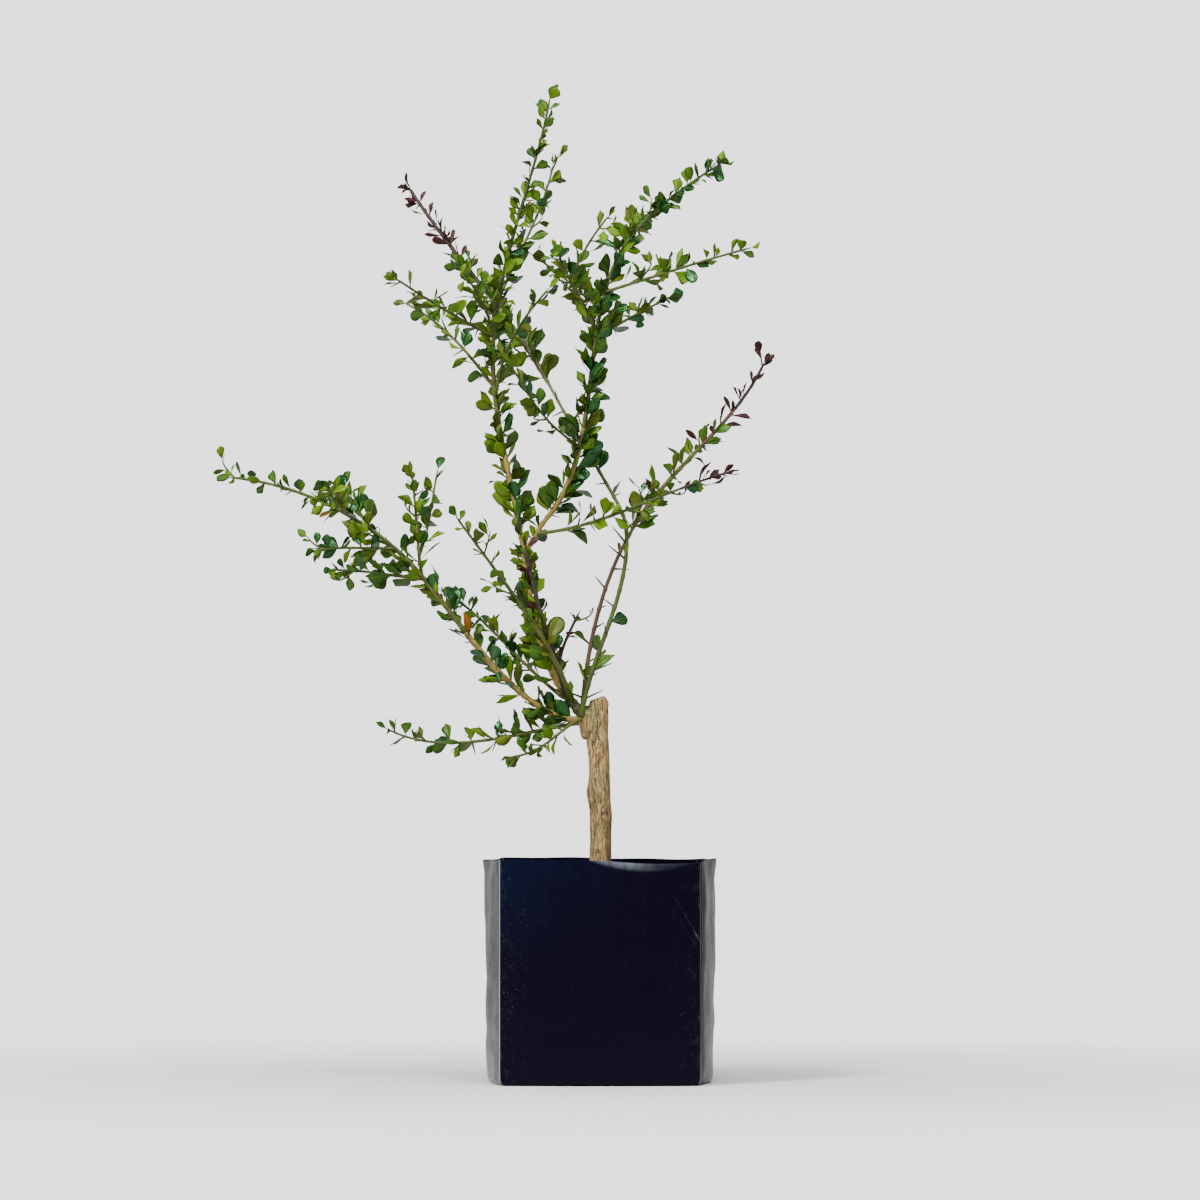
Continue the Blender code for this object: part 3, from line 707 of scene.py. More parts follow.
def limbSurface(line, joints, sides, ringStep, seed, flare, bulk):
    # Point(a, s) = line(s) + r(a, s) · (cos a · side(s) + sin a · other(s)), with
    # r = taper(s) · (1 + flare at the foot + a swelling at each joint + ridges that run along it),
    # which starts as thick as the limb it goes on from and closes in to a bud at a shoot's tip.
    length = line["reach"][-1]
    foot, join = line.get("foot", 0.0), line.get("join")
    distance = np.linspace(0, length, max(4, round(length / ringStep)) + 1)
    spot = stacked(*spotAt(line, distance))
    heading = unit(np.gradient(spot, axis=0))
    ring, turns = ringRound(heading, np.eye(3)[np.abs(heading).max(axis=0).argmin()], sides)
    grown = np.maximum(distance - foot, 0)
    taper = line["radii"][0] + (line["radii"][1] - line["radii"][0]) * grown / (length - foot)
    swelling = np.zeros(len(distance))
    for at, _ in joints:
        swelling += stems["swell"] * hill(grown - at, stems["swellWidth"])
    thick = np.full(len(distance), bulk)
    if join:
        thick = join + (bulk - join) * ease(0, stems["joinReach"], grown)
    else:
        swelling += flare * hill(grown, stems["flareReach"])
    if sides < stems["boughSides"]:
        thick = thick * (1 - stems["budTaper"] * ease(length - stems["budReach"], length, distance))
    ridges = stems["ridges"] * ripples(turns[None, :], distance[:, None], seed, *stems["ridgeWaves"])
    radius = (taper * thick)[:, None] * (1 + swelling[:, None] + ridges)
    grid = spot[:, None, :] + radius[:, :, None] * ring
    taper = taper[:, None]
    ahead = distance[:, None] + seed % stems["patterns"] * stems["patternShift"]
    return grid, stacked(np.cos(turns) * taper, np.sin(turns) * taper, ahead), spot, heading * taper


def addLimb(barks, names, line, joints, sides, ringStep, seed, flare=0.0, bulk=1.0):
    # a limb whose bark changes from foot to tip is several closed lengths, end to end
    grid, straight, spot, reach = limbSurface(line, joints, sides, ringStep, seed, flare, bulk)
    cuts = np.linspace(0, len(grid) - 1, len(names) + 1).round().astype(int)
    for name, first, last in zip(names, cuts, cuts[1:]):
        foot = spot[first] - reach[first] * 0.2
        tip = spot[last] + reach[last] * 0.6 if last == len(grid) - 1 else spot[last]
        barks[name][0].add(*wrappedGrid(grid[first:last + 1], straight[first:last + 1], foot, tip))


def addThorns(gather, thorns):
    # Point(a, t) = root + direction · length · t + thickness · (1 - t)^taper · ring(a): a spike
    # that stays stout until near its point.
    rows = np.array(thorns)
    share = np.array(thorn["stations"])
    sides = thorn["sides"]
    root = rows[:, None, 0:3]
    direction = unit(rows[:, 3:6])
    ring, _ = ringRound(direction, np.eye(3)[np.abs(direction).argmin(axis=1)], sides)
    reach = root + direction[:, None, :] * rows[:, 6, None, None] * share[:, None]
    thick = rows[:, 7, None] * (1 - share) ** thorn["taper"]
    grid = reach[:, :, None, :] + ring[:, None, :, :] * thick[:, :, None, None]
    tip = root + direction[:, None, :] * rows[:, 6, None, None]
    points = np.concatenate([grid.reshape(len(rows), -1, 3), root, tip], axis=1)
    sample = np.zeros((len(share), sides, 3))
    _, _, quads, tris = wrappedGrid(sample, sample, (0, 0, 0), (0, 0, 0))
    places = np.zeros(points.shape)
    places[:, :, 2] = np.concatenate([np.repeat(share, sides), [0.0, 1.0]])
    gather.addCopies(points, places, quads, tris)


leafShape = {
    "stations": (0.0, 0.15, 0.33, 0.50, 0.66, 0.80, 0.92, 1.0),
    "across": (-1.0, -0.5, 0.0, 0.5, 1.0),
    "petiole": 0.15, "petioleWidth": 0.42, "thick": 0.45,
    "widest": (0.5, 0.7), "shoulder": (1.3, 1.7), "blunt": (0.25, 1.0), "rounding": 0.10, "tipFrom": 0.6,
    "bend": (-0.15, 0.45), "cup": (0.1, 1.0), "twist": (-0.5, 0.5), "notch": (0.0, 0.05),
    "size": (1.05, 1.32), "slim": (0.52, 1.05), "tipShrink": 0.16,
}

# how far some tints' leaves differ: the glossy ones are round, the young ones small
leafForms = {
    "deep": {"slim": (0.75, 1.3), "size": (1.0, 1.3), "blunt": (0.2, 0.6), "cup": (0.05, 0.5)},
    "purple": {"slim": (0.4, 0.7), "size": (1.0, 1.45)},
    "buds": {"slim": (0.5, 0.8), "size": (0.3, 0.5)},
}


def leafTemplate():
    # The faces of one closed leaf: an upper and an under side that share their rim.
    rows, columns = len(leafShape["stations"]), len(leafShape["across"])
    upper = np.arange(rows * columns).reshape(rows, columns)
    under = upper.copy()
    under[1:-1, 1:-1] = rows * columns + np.arange((rows - 2) * (columns - 2)).reshape(rows - 2, -1)
    faces = []
    for sheet, order in ((upper, (0, 1, 2, 3)), (under, (3, 2, 1, 0))):
        corners = (sheet[:-1, :-1], sheet[:-1, 1:], sheet[1:, 1:], sheet[1:, :-1])
        faces.append(stacked(*[corners[i] for i in order]).reshape(-1, 4))
    return np.concatenate(faces), np.repeat([0, 1], len(faces[0]))


def addLeaves(gather, leaves, seed, form):
    # Point(t, s) = root + along · L · (t - tip rounding) + side · w(t) · s + normal · h(t, s), with
    # w = petiole, then W / 2 · rise · fall over the blade, b from 0 at its foot to 1 at its tip:
    # rise = 1 - (1 - b / widest)^shoulder, fall = 1 - blunt · ((b - widest) / (1 - widest))²;
    # h = cup · w · |s|^1.4 - bend · L · t², and the whole turned by twist · t about its midrib.
    count = len(leaves)
    dice = np.random.default_rng(seed)
    ranges = {key: value for key, value in (leafShape | form).items()
              if isinstance(value, tuple) and len(value) == 2}
    draw = {key: dice.uniform(*value, count)[:, None, None] for key, value in ranges.items()}
    root, ahead, normal = [np.array([tuple(leaf[key]) for leaf in leaves])[:, None, None, :]
                           for key in ("root", "along", "normal")]
    length, width, share = [np.array([leaf[key] for leaf in leaves])[:, None, None]
                            for key in ("length", "width", "share")]
    normal = unit(normal - ahead * (normal * ahead).sum(axis=-1, keepdims=True))
    side = np.cross(ahead, normal)
    length = length * draw["size"] * (1 - leafShape["tipShrink"] * share**2)
    width = width * draw["size"] * draw["slim"]
    t = np.array(leafShape["stations"])[None, :, None]
    s = np.array(leafShape["across"])[None, None, :]
    blade = np.clip((t - leafShape["petiole"]) / (1 - leafShape["petiole"]), 0, 1)
    widest = draw["widest"]
    rise = 1 - np.clip(1 - blade / widest, 0, 1) ** draw["shoulder"]
    fall = 1 - draw["blunt"] * np.clip((blade - widest) / (1 - widest), 0, 1) ** 2
    half = np.maximum(leafShape["petioleWidth"], width / 2 * rise * fall)
    rounding = leafShape["rounding"] * s**2 + draw["notch"] * (1 - s**2)
    reach = length * (t - ease(leafShape["tipFrom"], 1.0, t) * rounding)
    flat = half * s
    height = draw["cup"] * half * np.abs(s) ** 1.4 * blade - draw["bend"] * length * t**2
    turn = draw["twist"] * t
    across = flat * np.cos(turn) - height * np.sin(turn)
    over = flat * np.sin(turn) + height * np.cos(turn)
    top = root + ahead * reach[..., None] + side * across[..., None] + normal * over[..., None]
    thick = leafShape["thick"] * (1 - s**2) * (1 - 0.5 * t)
    under = (top - normal * thick[..., None])[:, 1:-1, 1:-1]
    uv = stacked(s, t, dice.uniform(0, 1, count)[:, None, None])
    points = np.concatenate([sheet.reshape(count, -1, 3) for sheet in (top, under)], axis=1)
    places = np.concatenate([sheet.reshape(count, -1, 3) for sheet in (uv, uv[:, 1:-1, 1:-1])], axis=1)
    faces, kinds = leafTemplate()
    gather.addCopies(points, places, faces, kinds=np.tile(kinds, count))


barkColours = {
    "tan": ((0.32, 0.22, 0.045), (0.15, 0.11, 0.015), (0.52, 0.40, 0.13)),
    "dark": ((0.050, 0.062, 0.005), (0.008, 0.012, 0.002), (0.32, 0.27, 0.08)),
    "olive": ((0.11, 0.12, 0.010), (0.045, 0.06, 0.004), (0.24, 0.21, 0.05)),
    "green": ((0.06, 0.095, 0.003), (0.026, 0.05, 0.002), (0.15, 0.17, 0.02)),
    "grey": ((0.17, 0.155, 0.055), (0.075, 0.075, 0.02), (0.30, 0.27, 0.13)),
    "brown": ((0.12, 0.055, 0.020), (0.05, 0.024, 0.010), (0.24, 0.13, 0.055)),
    "red": ((0.034, 0.009, 0.007), (0.014, 0.004, 0.003), (0.07, 0.028, 0.018)),
}

barkSlots = {"tan": "tan_bark", "dark": "dark_bark", "olive": "green_bark", "green": "green_bark",
             "grey": "grey_bark", "brown": "brown_bark", "red": "brown_bark"}

leafTints = {
    "bright": (0.095, 0.20, 0.002),
    "mid": (0.033, 0.098, 0.001),
    "deep": (0.003, 0.040, 0.005),
    "olive": (0.070, 0.090, 0.004),
    "purple": (0.030, 0.006, 0.007),
    "buds": (0.036, 0.008, 0.008),
    "turning": (0.30, 0.10, 0.005),
}

# roughness of the upper side, how strongly it shines, and the tint of its sheen
leafGloss = {
    "bright": (0.34, 0.4, (0.8, 1.0, 0.45)), "mid": (0.30, 0.5, (0.6, 1.0, 0.5)),
    "deep": (0.18, 0.75, (0.38, 1.0, 0.48)), "olive": (0.36, 0.4, (0.8, 1.0, 0.5)),
    "purple": (0.36, 0.4, (1.0, 0.7, 0.6)), "buds": (0.40, 0.4, (1.0, 0.7, 0.6)),
    "turning": (0.36, 0.4, (1.0, 0.9, 0.6)),
}

leafMixes = {
    "mixed": {"bright": 3, "mid": 5, "deep": 3, "olive": 2},
    "leader": {"bright": 5, "mid": 4, "deep": 2, "olive": 1},
    "glossy": {"bright": 1, "mid": 4, "deep": 5, "olive": 1, "turning": 0.03},
    "red": {"bright": 3, "mid": 3, "deep": 1, "purple": 3},
    "tips": {"bright": 1, "mid": 4, "olive": 2, "purple": 1},
    "purple": {"purple": 1},
    "buds": {"buds": 1},
}


def barkFinish(name):
    # streaks that run along the stem, pale corky flecks, and a fine fibre bump
    main, dark, pale = barkColours[name]
    paint = Paint("bark" + name.capitalize())
    streaks = paint.noise(1.0, 3, 0.6, spot=paint.place((1.4, 1.4, 0.06)))
    flecks = paint.noise(1.3, spot=paint.place((1.2, 1.2, 0.5)))
    patches = paint.noise(1.0, spot=paint.place((0.1, 0.1, 0.035)))
    colour = paint.layers(dark, (streaks.above(0.42, 0.2), main),
                          (patches.above(0.45, 0.25) * 0.5, shade(main, 1.25)),
                          (flecks.above(0.6, 0.06) * 0.7, pale))
    return paint.finish(colour, 0.5 + streaks * 0.3, streaks + flecks * 0.5, 0.5, 0.5)


def leafFinish(name, under):
    # paler midrib and side veins, a slightly uneven green, painted shade as a dark rim along the margin,
    # gloss on the upper side only
    green = leafTints[name]
    rough, shine, sheen = leafGloss[name]
    pale = (0.18, 0.25, 0.02) if name in ("bright", "mid", "deep", "olive") else shade(green, 2.5)
    if under:
        rough, shine = 0.5, 0.3
        green = mixed(shade(green, 1.2), shade(pale, 0.55), 0.3)
    paint = Paint("leaf" + name.capitalize() + ("Under" if under else ""))
    across, lengthwise, tone = paint.parts(paint.place())
    away = abs(across)
    midrib = away.under(0.03, 0.10)
    veins = (away * 2.2 - lengthwise * 7).calc("FRACT")
    veins = abs(veins - 0.5).under(0.0, 0.16) * away.above(0.1, 0.2)
    mottle = paint.noise(160.0)
    uneven = (tone * 0.7 + paint.noise(22.0, 1) * 0.6).above(0.3, 0.7)
    # the last layer is painted shade: a dark rim along the leaf's margin that sets leaves apart
    colour = paint.layers(shade(green, 0.72), (uneven, shade(green, 1.22)),
                          (mottle.above(0.5, 0.3) * 0.35, mixed(green, shade(pale, 0.7), 0.35)),
                          (midrib * 0.55 + veins * 0.18, mixed(green, pale, 0.5)),
                          (away.above(0.78, 0.22) * 0.6, shade(green, 0.35)))
    paint.set("Specular IOR Level", shine)
    paint.set("Specular Tint", sheen)
    relief = mottle * 0.3 - midrib * 0.7 - veins * 0.4
    return paint.finish(colour, mottle * 0.12 + rough, relief, 0.45, 0.35)


def thornFinish():
    paint = Paint("thornGreyGreen")
    lengthwise = paint.parts(paint.place())[2]
    grain = paint.noise(400.0)
    colour = paint.layers((0.035, 0.055, 0.008), (lengthwise.above(0.45, 0.5), (0.06, 0.028, 0.012)),
                          (grain.above(0.4, 0.4) * 0.3, (0.10, 0.10, 0.035)))
    return paint.finish(colour, grain * 0.2 + 0.4)


def dealTint(dice, limb, share):
    # one leaf's tint; the ends of some shoots are purple
    ends = 0.8 if limb["node"] == "mass_crossing" else 0.62 if limb["mix"] == "tips" else 1
    mix = leafMixes["purple" if share > ends else limb["mix"]]
    return dice.choices(list(mix), list(mix.values()))[0]


def growPlant():
    lines = layLines()
    spots = samplesOf(lines)
    barks = {name: (Gather(), set()) for name in barkColours}
    blades = {name: ([], set()) for name in leafTints}
    thorns = []
    for number, (name, limb) in enumerate(limbs.items()):
        line = lines[name]
        node = limb["node"]
        length = line["reach"][-1]
        bough = not limb["spacing"]
        twigs = []
        if bough:
            leaves, joints = growBough(name, limb, line, length - 3)
            leaves += growPairs(name, limb, line, joints) if limb["leafy"] == 1 else []
        else:
            twigs, leaves, joints = growMass(name, limb, line, spots)
            leaves += growPairs(name, limb, line, joints)
            if not limb["leave"]:
                more, feet = growBough(name + " foot", limb, line, limb["bare"] * length)
                leaves += more + growPairs(name + " foot", limb, line, feet)
                joints += feet
        thorns += growThorns(name, limb, line, joints)
        sides = stems["boughSides" if bough else "shootSides"]
        step = stems["boughRingStep" if bough else "ringStep"]
        rooted = rootedLine(name, limb, lines)
        addLimb(barks, limb["bark"], rooted, joints, sides, step, number, stems["flare"], bulkOf(limb))
        for twig in twigs:
            addLimb(barks, ("green",), twig, (), stems["twigSides"], stems["twigRingStep"], number + 50)
        for bark in (*limb["bark"], *(["green"] if twigs else [])):
            barks[bark][1].add(node)
        dice = random.Random(name + " tints")
        for leaf in leaves:
            if isFree(leafProbe(leaf), node, spots, not bough):
                tint = dealTint(dice, limb, leaf["share"])
                blades[tint][0].append(leaf)
                blades[tint][1].add(node)
    print("leaves", sum(len(leaves) for leaves, _ in blades.values()), "thorns", len(thorns))
    for name, (gather, nodes) in barks.items():
        gather.piece("stems" + name.capitalize(), [barkFinish(name)], barkSlots[name], sorted(nodes))
    for number, (name, (leaves, nodes)) in enumerate(blades.items()):
        if leaves:
            gather = Gather()
            addLeaves(gather, leaves, number, leafForms.get(name, {}))
            masses = [node for node in sorted(nodes) if node.startswith("mass")]
            finishes = [leafFinish(name, under) for under in (False, True)]
            gather.piece("leaves" + name.capitalize(), finishes, "leaf", masses)
    gather = Gather()
    addThorns(gather, thorns)
    gather.piece("thorns", [thornFinish()], "green_bark", [])


growPlant()


def smoothMax(first, second, soft):
    # the larger of two, rounded where they cross: half of sum plus root of difference² + soft²
    return (first + second + np.sqrt((first - second) ** 2 + soft**2)) / 2 - soft / 8


def collarReach(angle, lean, height):
    # how far the collar's ellipsoid reaches along a level ray from the trunk's axis: the larger
    # root of the quadratic that the ray makes with it, and nothing where it misses
    centre, radii = trunk["collarCentre"], trunk["collarRadii"]
    a = (np.cos(angle) / radii.x) ** 2 + (np.sin(angle) / radii.y) ** 2
    b = (lean - centre.x) * np.cos(angle) / radii.x**2
    c = ((lean - centre.x) / radii.x) ** 2 + ((height - centre.z) / radii.z) ** 2 - 1
    inside = b * b - a * c
    return np.where(inside > 0, (-b + np.sqrt(np.maximum(inside, 0))) / a, 0)


def trunkSurface(angle, share):
    # Point(a, v) = axis(z) + r(a, z) · (cos a, sin a), z running from under the soil to the
    # slanted cut; r = stem radius or collar, whichever is larger, + knots + bark plates and furrows.
    rings = np.array(trunk["rings"])
    foot = trunk["soilTop"] + rings[0, 0]
    crest = trunk["top"] + trunk["cutSlope"] * (9.3 * np.cos(angle) - 1.0)
    crest -= 7.0 * np.clip((np.cos(angle) - 0.45) / 0.55, 0, 1) ** 1.5      # the shoulder is worn off
    height = foot + (crest - foot) * share
    over = height - trunk["soilTop"]
    radius, lean = [np.interp(over, rings[:, 0], rings[:, column]) for column in (1, 2)]
    reach = smoothMax(radius, collarReach(angle, lean, height), 8.0)
    for way, width, size, middle, tall in trunk["knots"]:
        turn = np.mod(angle - way + math.pi, math.tau) - math.pi
        reach += size * hill(turn, width) * hill(height - middle, tall)
    furrows, plates, fibres = [ripples(angle, height, *trunk[key])
                               for key in ("furrows", "plates", "fibres")]
    reach += 0.26 * plates - 0.24 * np.abs(furrows) ** 0.8 + 0.2 + 0.14 * fibres
    reach *= 1 - 0.10 * ease(0.975, 1.0, share) ** 2
    return stacked(lean + reach * np.cos(angle), reach * np.sin(angle), height)


def trunkFinish():
    # grey-green and tan fibres that run up the stem, dark furrows, reddish scars, and painted shade down
    # the right side of the stem
    paint = Paint("barkTrunk")
    fibres = paint.noise(560.0, 5, 0.8, 0.5, tall=0.24)
    streaks = paint.noise(190.0, 3, 0.6, tall=0.12)
    patches = paint.noise(130.0, 3, 0.6, tall=0.2)
    cracks = paint.noise(500.0, 5, 0.8, 0.8, tall=0.13)
    light = paint.blend(patches.above(0.44, 0.12), (0.76, 0.48, 0.22), (0.50, 0.42, 0.19))
    x, y, z = paint.parts(paint.here())
    # painted shade: the bark's colour is darkened down the stem's right side, as if lit from the left
    shadedRightSide = (x + streaks * 0.006 - 0.0065).above(0.0, 0.005)
    colour = paint.layers((0.18, 0.12, 0.033), (streaks.above(0.40, 0.2), (0.41, 0.245, 0.085)),
                          (patches.above(0.50, 0.08) * 0.75, (0.15, 0.15, 0.045)),
                          (fibres.above(0.50, 0.06) * 0.9, light),
                          (cracks.under(0.415, 0.05) * 0.95, (0.060, 0.030, 0.010)),
                          (shadedRightSide * 0.45, (0.14, 0.075, 0.025)))
    for spot in trunk["scars"]:
        away = ((x - spot[0]) ** 2 + (y - spot[1]) ** 2 + ((z - spot[2]) * 0.7) ** 2).calc("SQRT")
        ring = (away + fibres * 0.002).under(0.0026, 0.0012)
        core = (away + fibres * 0.001).under(0.0014, 0.0006)
        colour = paint.layers(colour, (ring * 0.8, (0.20, 0.07, 0.03)), (core, (0.70, 0.36, 0.20)))
    relief = fibres * 0.6 + streaks * 0.5 + cracks.above(0.38, 0.1) * 0.7
    return paint.finish(colour, 0.72 + fibres * 0.2, relief, 0.9, 1.2)


def makeTrunk():
    angle = (math.tau * np.arange(trunk["columns"]) / trunk["columns"])[None, :]
    grid = trunkSurface(angle, np.linspace(0, 1, trunk["rows"])[:, None])
    closedPiece("trunkBark", trunkFinish(), "trunk_bark", ["trunk"], grid, grid, grid[0].mean(axis=0))
    # The cut: from the rim to its middle, Point = rim · (1 - v) + middle · v, dished a little.
    rim = grid[-1]
    middle = rim.mean(axis=0)
    share = np.linspace(0, 1, 14)[:-1, None, None]
    cut = rim[None] * (1 - share) + middle * share
    cut[..., 2] += 0.5 * np.sin(math.pi * share[..., 0]) - 0.6 * share[..., 0]
    closedPiece("pruningCut", cutFinish(middle), "trunk_bark", ["trunk"], cut, cut, None,
                middle + np.array([0, 0, -0.5]))


def cutFinish(middle):
    # pale weathered wood: year rings round the pith, and drying cracks
    paint = Paint("cutWood")
    x, y, _ = paint.parts(paint.here())
    fromPith = ((x - middle[0] * millimetre) ** 2 + (y - middle[1] * millimetre) ** 2).calc("SQRT")
    wobble = paint.noise(260.0)
    rings = ((fromPith * 900 + wobble * 0.9) * math.tau).calc("SINE")
    colour = paint.layers((0.26, 0.17, 0.075), (rings * 0.5 + 0.5, (0.38, 0.27, 0.13)),
                          (fromPith.above(0.0068, 0.0012), (0.12, 0.09, 0.035)),
                          (wobble.above(0.55, 0.2) * 0.5, (0.19, 0.15, 0.09)))
    return paint.finish(colour, wobble * 0.2 + 0.7, rings + wobble * 2, 0.4, 0.3)


makeTrunk()


bag = {
    "height": 221.0, "fold": 99.0, "sideBulge": 15.5, "frontBulge": 7.0, "film": 0.5,
    "levels": ((0.0, 0.955), (5.0, 0.98), (40.0, 0.99), (130.0, 1.0), (221.0, 1.0)),
    "columns": 56, "rows": 150, "mixTop": 201.0, "mixInset": 1.5, "floor": 1.0,
    "pleat": (1.8, 2.5), "seam": (1.1, 1.3),  # depth and width of a gusset's crease and of a fold
    "creases": (21, 12, (5, 17), (90, 400)), "dents": (22, 16, (22, 60)),  # seed, number, turns, pitch
}


def bagOutline(corner, height, inset):
    # corner runs 0 to 4 round the bag, a whole number at each upright fold. Each side is
    # straight from fold to fold plus bulge · 4t(1 - t), with the film's own creases on top.
    side = np.floor(corner).astype(int) % 4
    t = corner - np.floor(corner)
    front = side == 0
    gusset = side % 2 == 1
    levels = np.array(bag["levels"])
    fold = bag["fold"] * np.interp(height, levels[:, 0], levels[:, 1]) - inset
    span = 2 * bag["fold"]
    x = (t - 0.5) * span
    fromFold = np.minimum(t, 1 - t) * span
    settled = ease(0, 30, fromFold)
    creases = ripples(corner * math.pi / 2, height, *bag["creases"])
    dents = lumps(corner * 60.0, height, *bag["dents"])
    relief = settled * np.where(gusset, 0.75 * creases + 0.5 * dents, 0.30 * creases + 0.22 * dents)
    (pleat, pleatWidth), (seam, seamWidth) = bag["pleat"], bag["seam"]
    relief += np.where(gusset, -pleat * np.exp(-np.abs(x) / pleatWidth), 0)
    relief += seam * np.exp(-fromFold / seamWidth)
    relief += np.where(front, 0.35 * np.exp(-np.abs(x + 26) / 0.9), 0)
    crease = np.abs((x - 80) * 0.86 + (height - 175) * 0.5)
    relief += np.where(front & (x > 62), 0.4 * np.exp(-crease / 0.8) * ease(62, 80, x), 0)
    lip = ease(bag["mixTop"] - 6, bag["height"], height)
    relief += np.where(front, -5.5 * hill(x - 45, 42) * lip**1.6, 0) * settled
    relief += lip * settled * np.where(front, 1.2, 2.6) * np.sin(corner * math.tau * 1.5 + 0.8)
    out = np.where(gusset, bag["sideBulge"], bag["frontBulge"]) * 4 * t * (1 - t) + relief
    ways = np.array(((-1, -1), (1, -1), (1, 1), (-1, 1)))
    start, end = ways[side], ways[(side + 1) % 4]
    flat = (start + (end - start) * t[..., None]) * fold[..., None]
    return (flat[..., 0] + np.where(gusset, np.sign(start[..., 0]) * out, 0),
            flat[..., 1] + np.where(gusset, 0, np.sign(start[..., 1]) * out))


def bagCorners():
    # places round the bag, closer together towards each fold
    t = (1 - np.cos(math.pi * np.arange(bag["columns"]) / bag["columns"])) / 2
    return (np.arange(4)[:, None] + t[None, :]).ravel()


def makeBag():
    # Rows run from the middle of the underside out to the foot, up the outside, over the rim
    # and down the inside to the middle of the floor; each row is an outline, shrunk for the base.
    corner = bagCorners()[None, :]
    top, film, floor = bag["height"], bag["film"], bag["floor"]
    base = np.linspace(0.04, 1, 12)
    rise = top * (1 - np.cos(np.linspace(0, math.pi, bag["rows"]))) / 2
    rows = [(share, 0.0, 0.0) for share in base[:-1]]
    rows += [(1.0, height, 0.0) for height in rise] + [(1.0, top + 0.1, film / 2)]
    inside = [height for height in rise[::-1] if height > 180] + [150.0, 100.0, 50.0, 10.0, floor]
    rows += [(1.0, height, film) for height in inside] + [(share, floor, film) for share in base[-2::-1]]
    share, height, inset = [np.array(part)[:, None] for part in zip(*rows)]
    across, deep = bagOutline(*np.broadcast_arrays(corner, height, inset))
    rim = ease(top - 14, top, height)
    wave = np.sin(corner * math.tau / 4 * 3 + 1.0) * 0.8 + np.sin(corner * math.tau / 4 * 11) * 0.35
    dip = 2.6 * hill((corner - 0.5) * 2 * bag["fold"] - 62, 34)  # the front rim sags on the right
    grid = stacked(across * share, deep * share, height + rim * (wave - 0.4 - dip))
    places = stacked(corner * 2 * bag["fold"], height, share)
    closedPiece("plantingBag", filmFinish(), "black_film", ["bag"], grid, places, (0, 0, 0),
                (0, 0, floor))


def filmFinish():
    # black polythene: a blue cast high on the left, rubbed and dusty along the folds, fine creases;
    # painted highlights along the folds and in an arc under the front rim
    paint = Paint("blackFilm", Specular_IOR_Level=0.06, Coat_Roughness=0.22)
    x, y, z = paint.parts(paint.here())
    wide = paint.noise(16.0, 3, 0.6, tall=0.45)
    scuffs = paint.noise(120.0, 4, 0.7, tall=0.5)
    mottle = paint.noise(42.0, 5, 0.75, tall=0.5)
    dented = paint.noise(150.0, 3, 0.6, tall=0.6)
    toRight = x.above(0.0, 0.01)
    blue = (z - 0.12).above(0.0, 0.1) * (x + 0.1).under(0.0, 0.13) * wide.above(0.3, 0.3)
    dust = scuffs.above(0.55, 0.2) * (abs(x).above(0.082, 0.016) * 0.6 + 0.05)
    atLeft = (x + 0.098).under(0.0, 0.035)
    atRight = (x - 0.06).above(0.0, 0.035) * z.under(0.06, 0.08)
    specks = paint.noise(800.0, 1).above(0.70, 0.05) * wide.above(0.4, 0.2)
    # a painted highlight: a pale line along each upright fold, strong on the left fold and faint on the
    # right
    fold = abs(abs(x) - 0.0988).under(0.0002, 0.0007)
    colour = paint.layers((0.0018, 0.0009, 0.0075), (blue, (0.0016, 0.0034, 0.0190)),
                          (dust * 0.35, (0.09, 0.10, 0.105)),
                          (specks * (atLeft + atRight * 0.8 + 0.04) * 0.3, (0.30, 0.31, 0.32)),
                          (fold * (0.7 - toRight * 0.6), (0.42, 0.43, 0.44)))
    fromScratch = (x - 0.0795) * 0.87 + (z - 0.175) * 0.49
    worn = (x - 0.072).above(0.0, 0.02) * scuffs.above(0.42, 0.2) * y.under(-0.096, 0.003)
    for offset, strength in ((0.0, 0.16), (-0.0062, 0.06)):
        line = abs(fromScratch - offset).under(0.0002, 0.0005) * worn
        colour = paint.blend(line * strength, colour, (0.30, 0.32, 0.36))
    border = toRight * (wide * 0.012 - 0.0035)  # dark film laps round the right fold
    gusset = (abs(x) - border).above(0.0985, 0.002) * (1 - toRight * 0.15)
    rubbed = mottle.above(0.38, 0.24) * 0.75 + scuffs.above(0.36, 0.3) * 0.7 + 0.32
    gusset = gusset * (1 - y.above(-0.09, 0.08) * 0.35) * rubbed
    # a painted highlight: a pale blue-grey arc under the front rim, fading to the right; the same mask
    # also raises the coat there
    highlightArc = (z - 0.2095 - (x - 0.045) ** 2 * 3.4).above(0.0, 0.008) * y.under(-0.08, 0.01)
    highlightArc = highlightArc * (1 - x.above(0.01, 0.085) * 0.8) * (wide.above(0.35, 0.25) * 0.65 + 0.35)
    colour = paint.blend(highlightArc * scuffs.above(0.15, 0.4), colour, (0.15, 0.175, 0.21))
    paint.set("Coat Weight", (gusset + highlightArc).calc("MINIMUM", 1.0) * 0.6)
    scratches = paint.noise(260.0, tall=0.06).above(0.6, 0.1)
    relief = (wide * 2.5 + scuffs * 0.35 + gusset * dented * 1.6 + paint.noise(900.0) * 0.05
              + scratches * 0.06)
    return paint.finish(colour, wide * 0.18 + scuffs * 0.12 + dust * 0.25 + 0.16, relief, 0.35, 1.6)


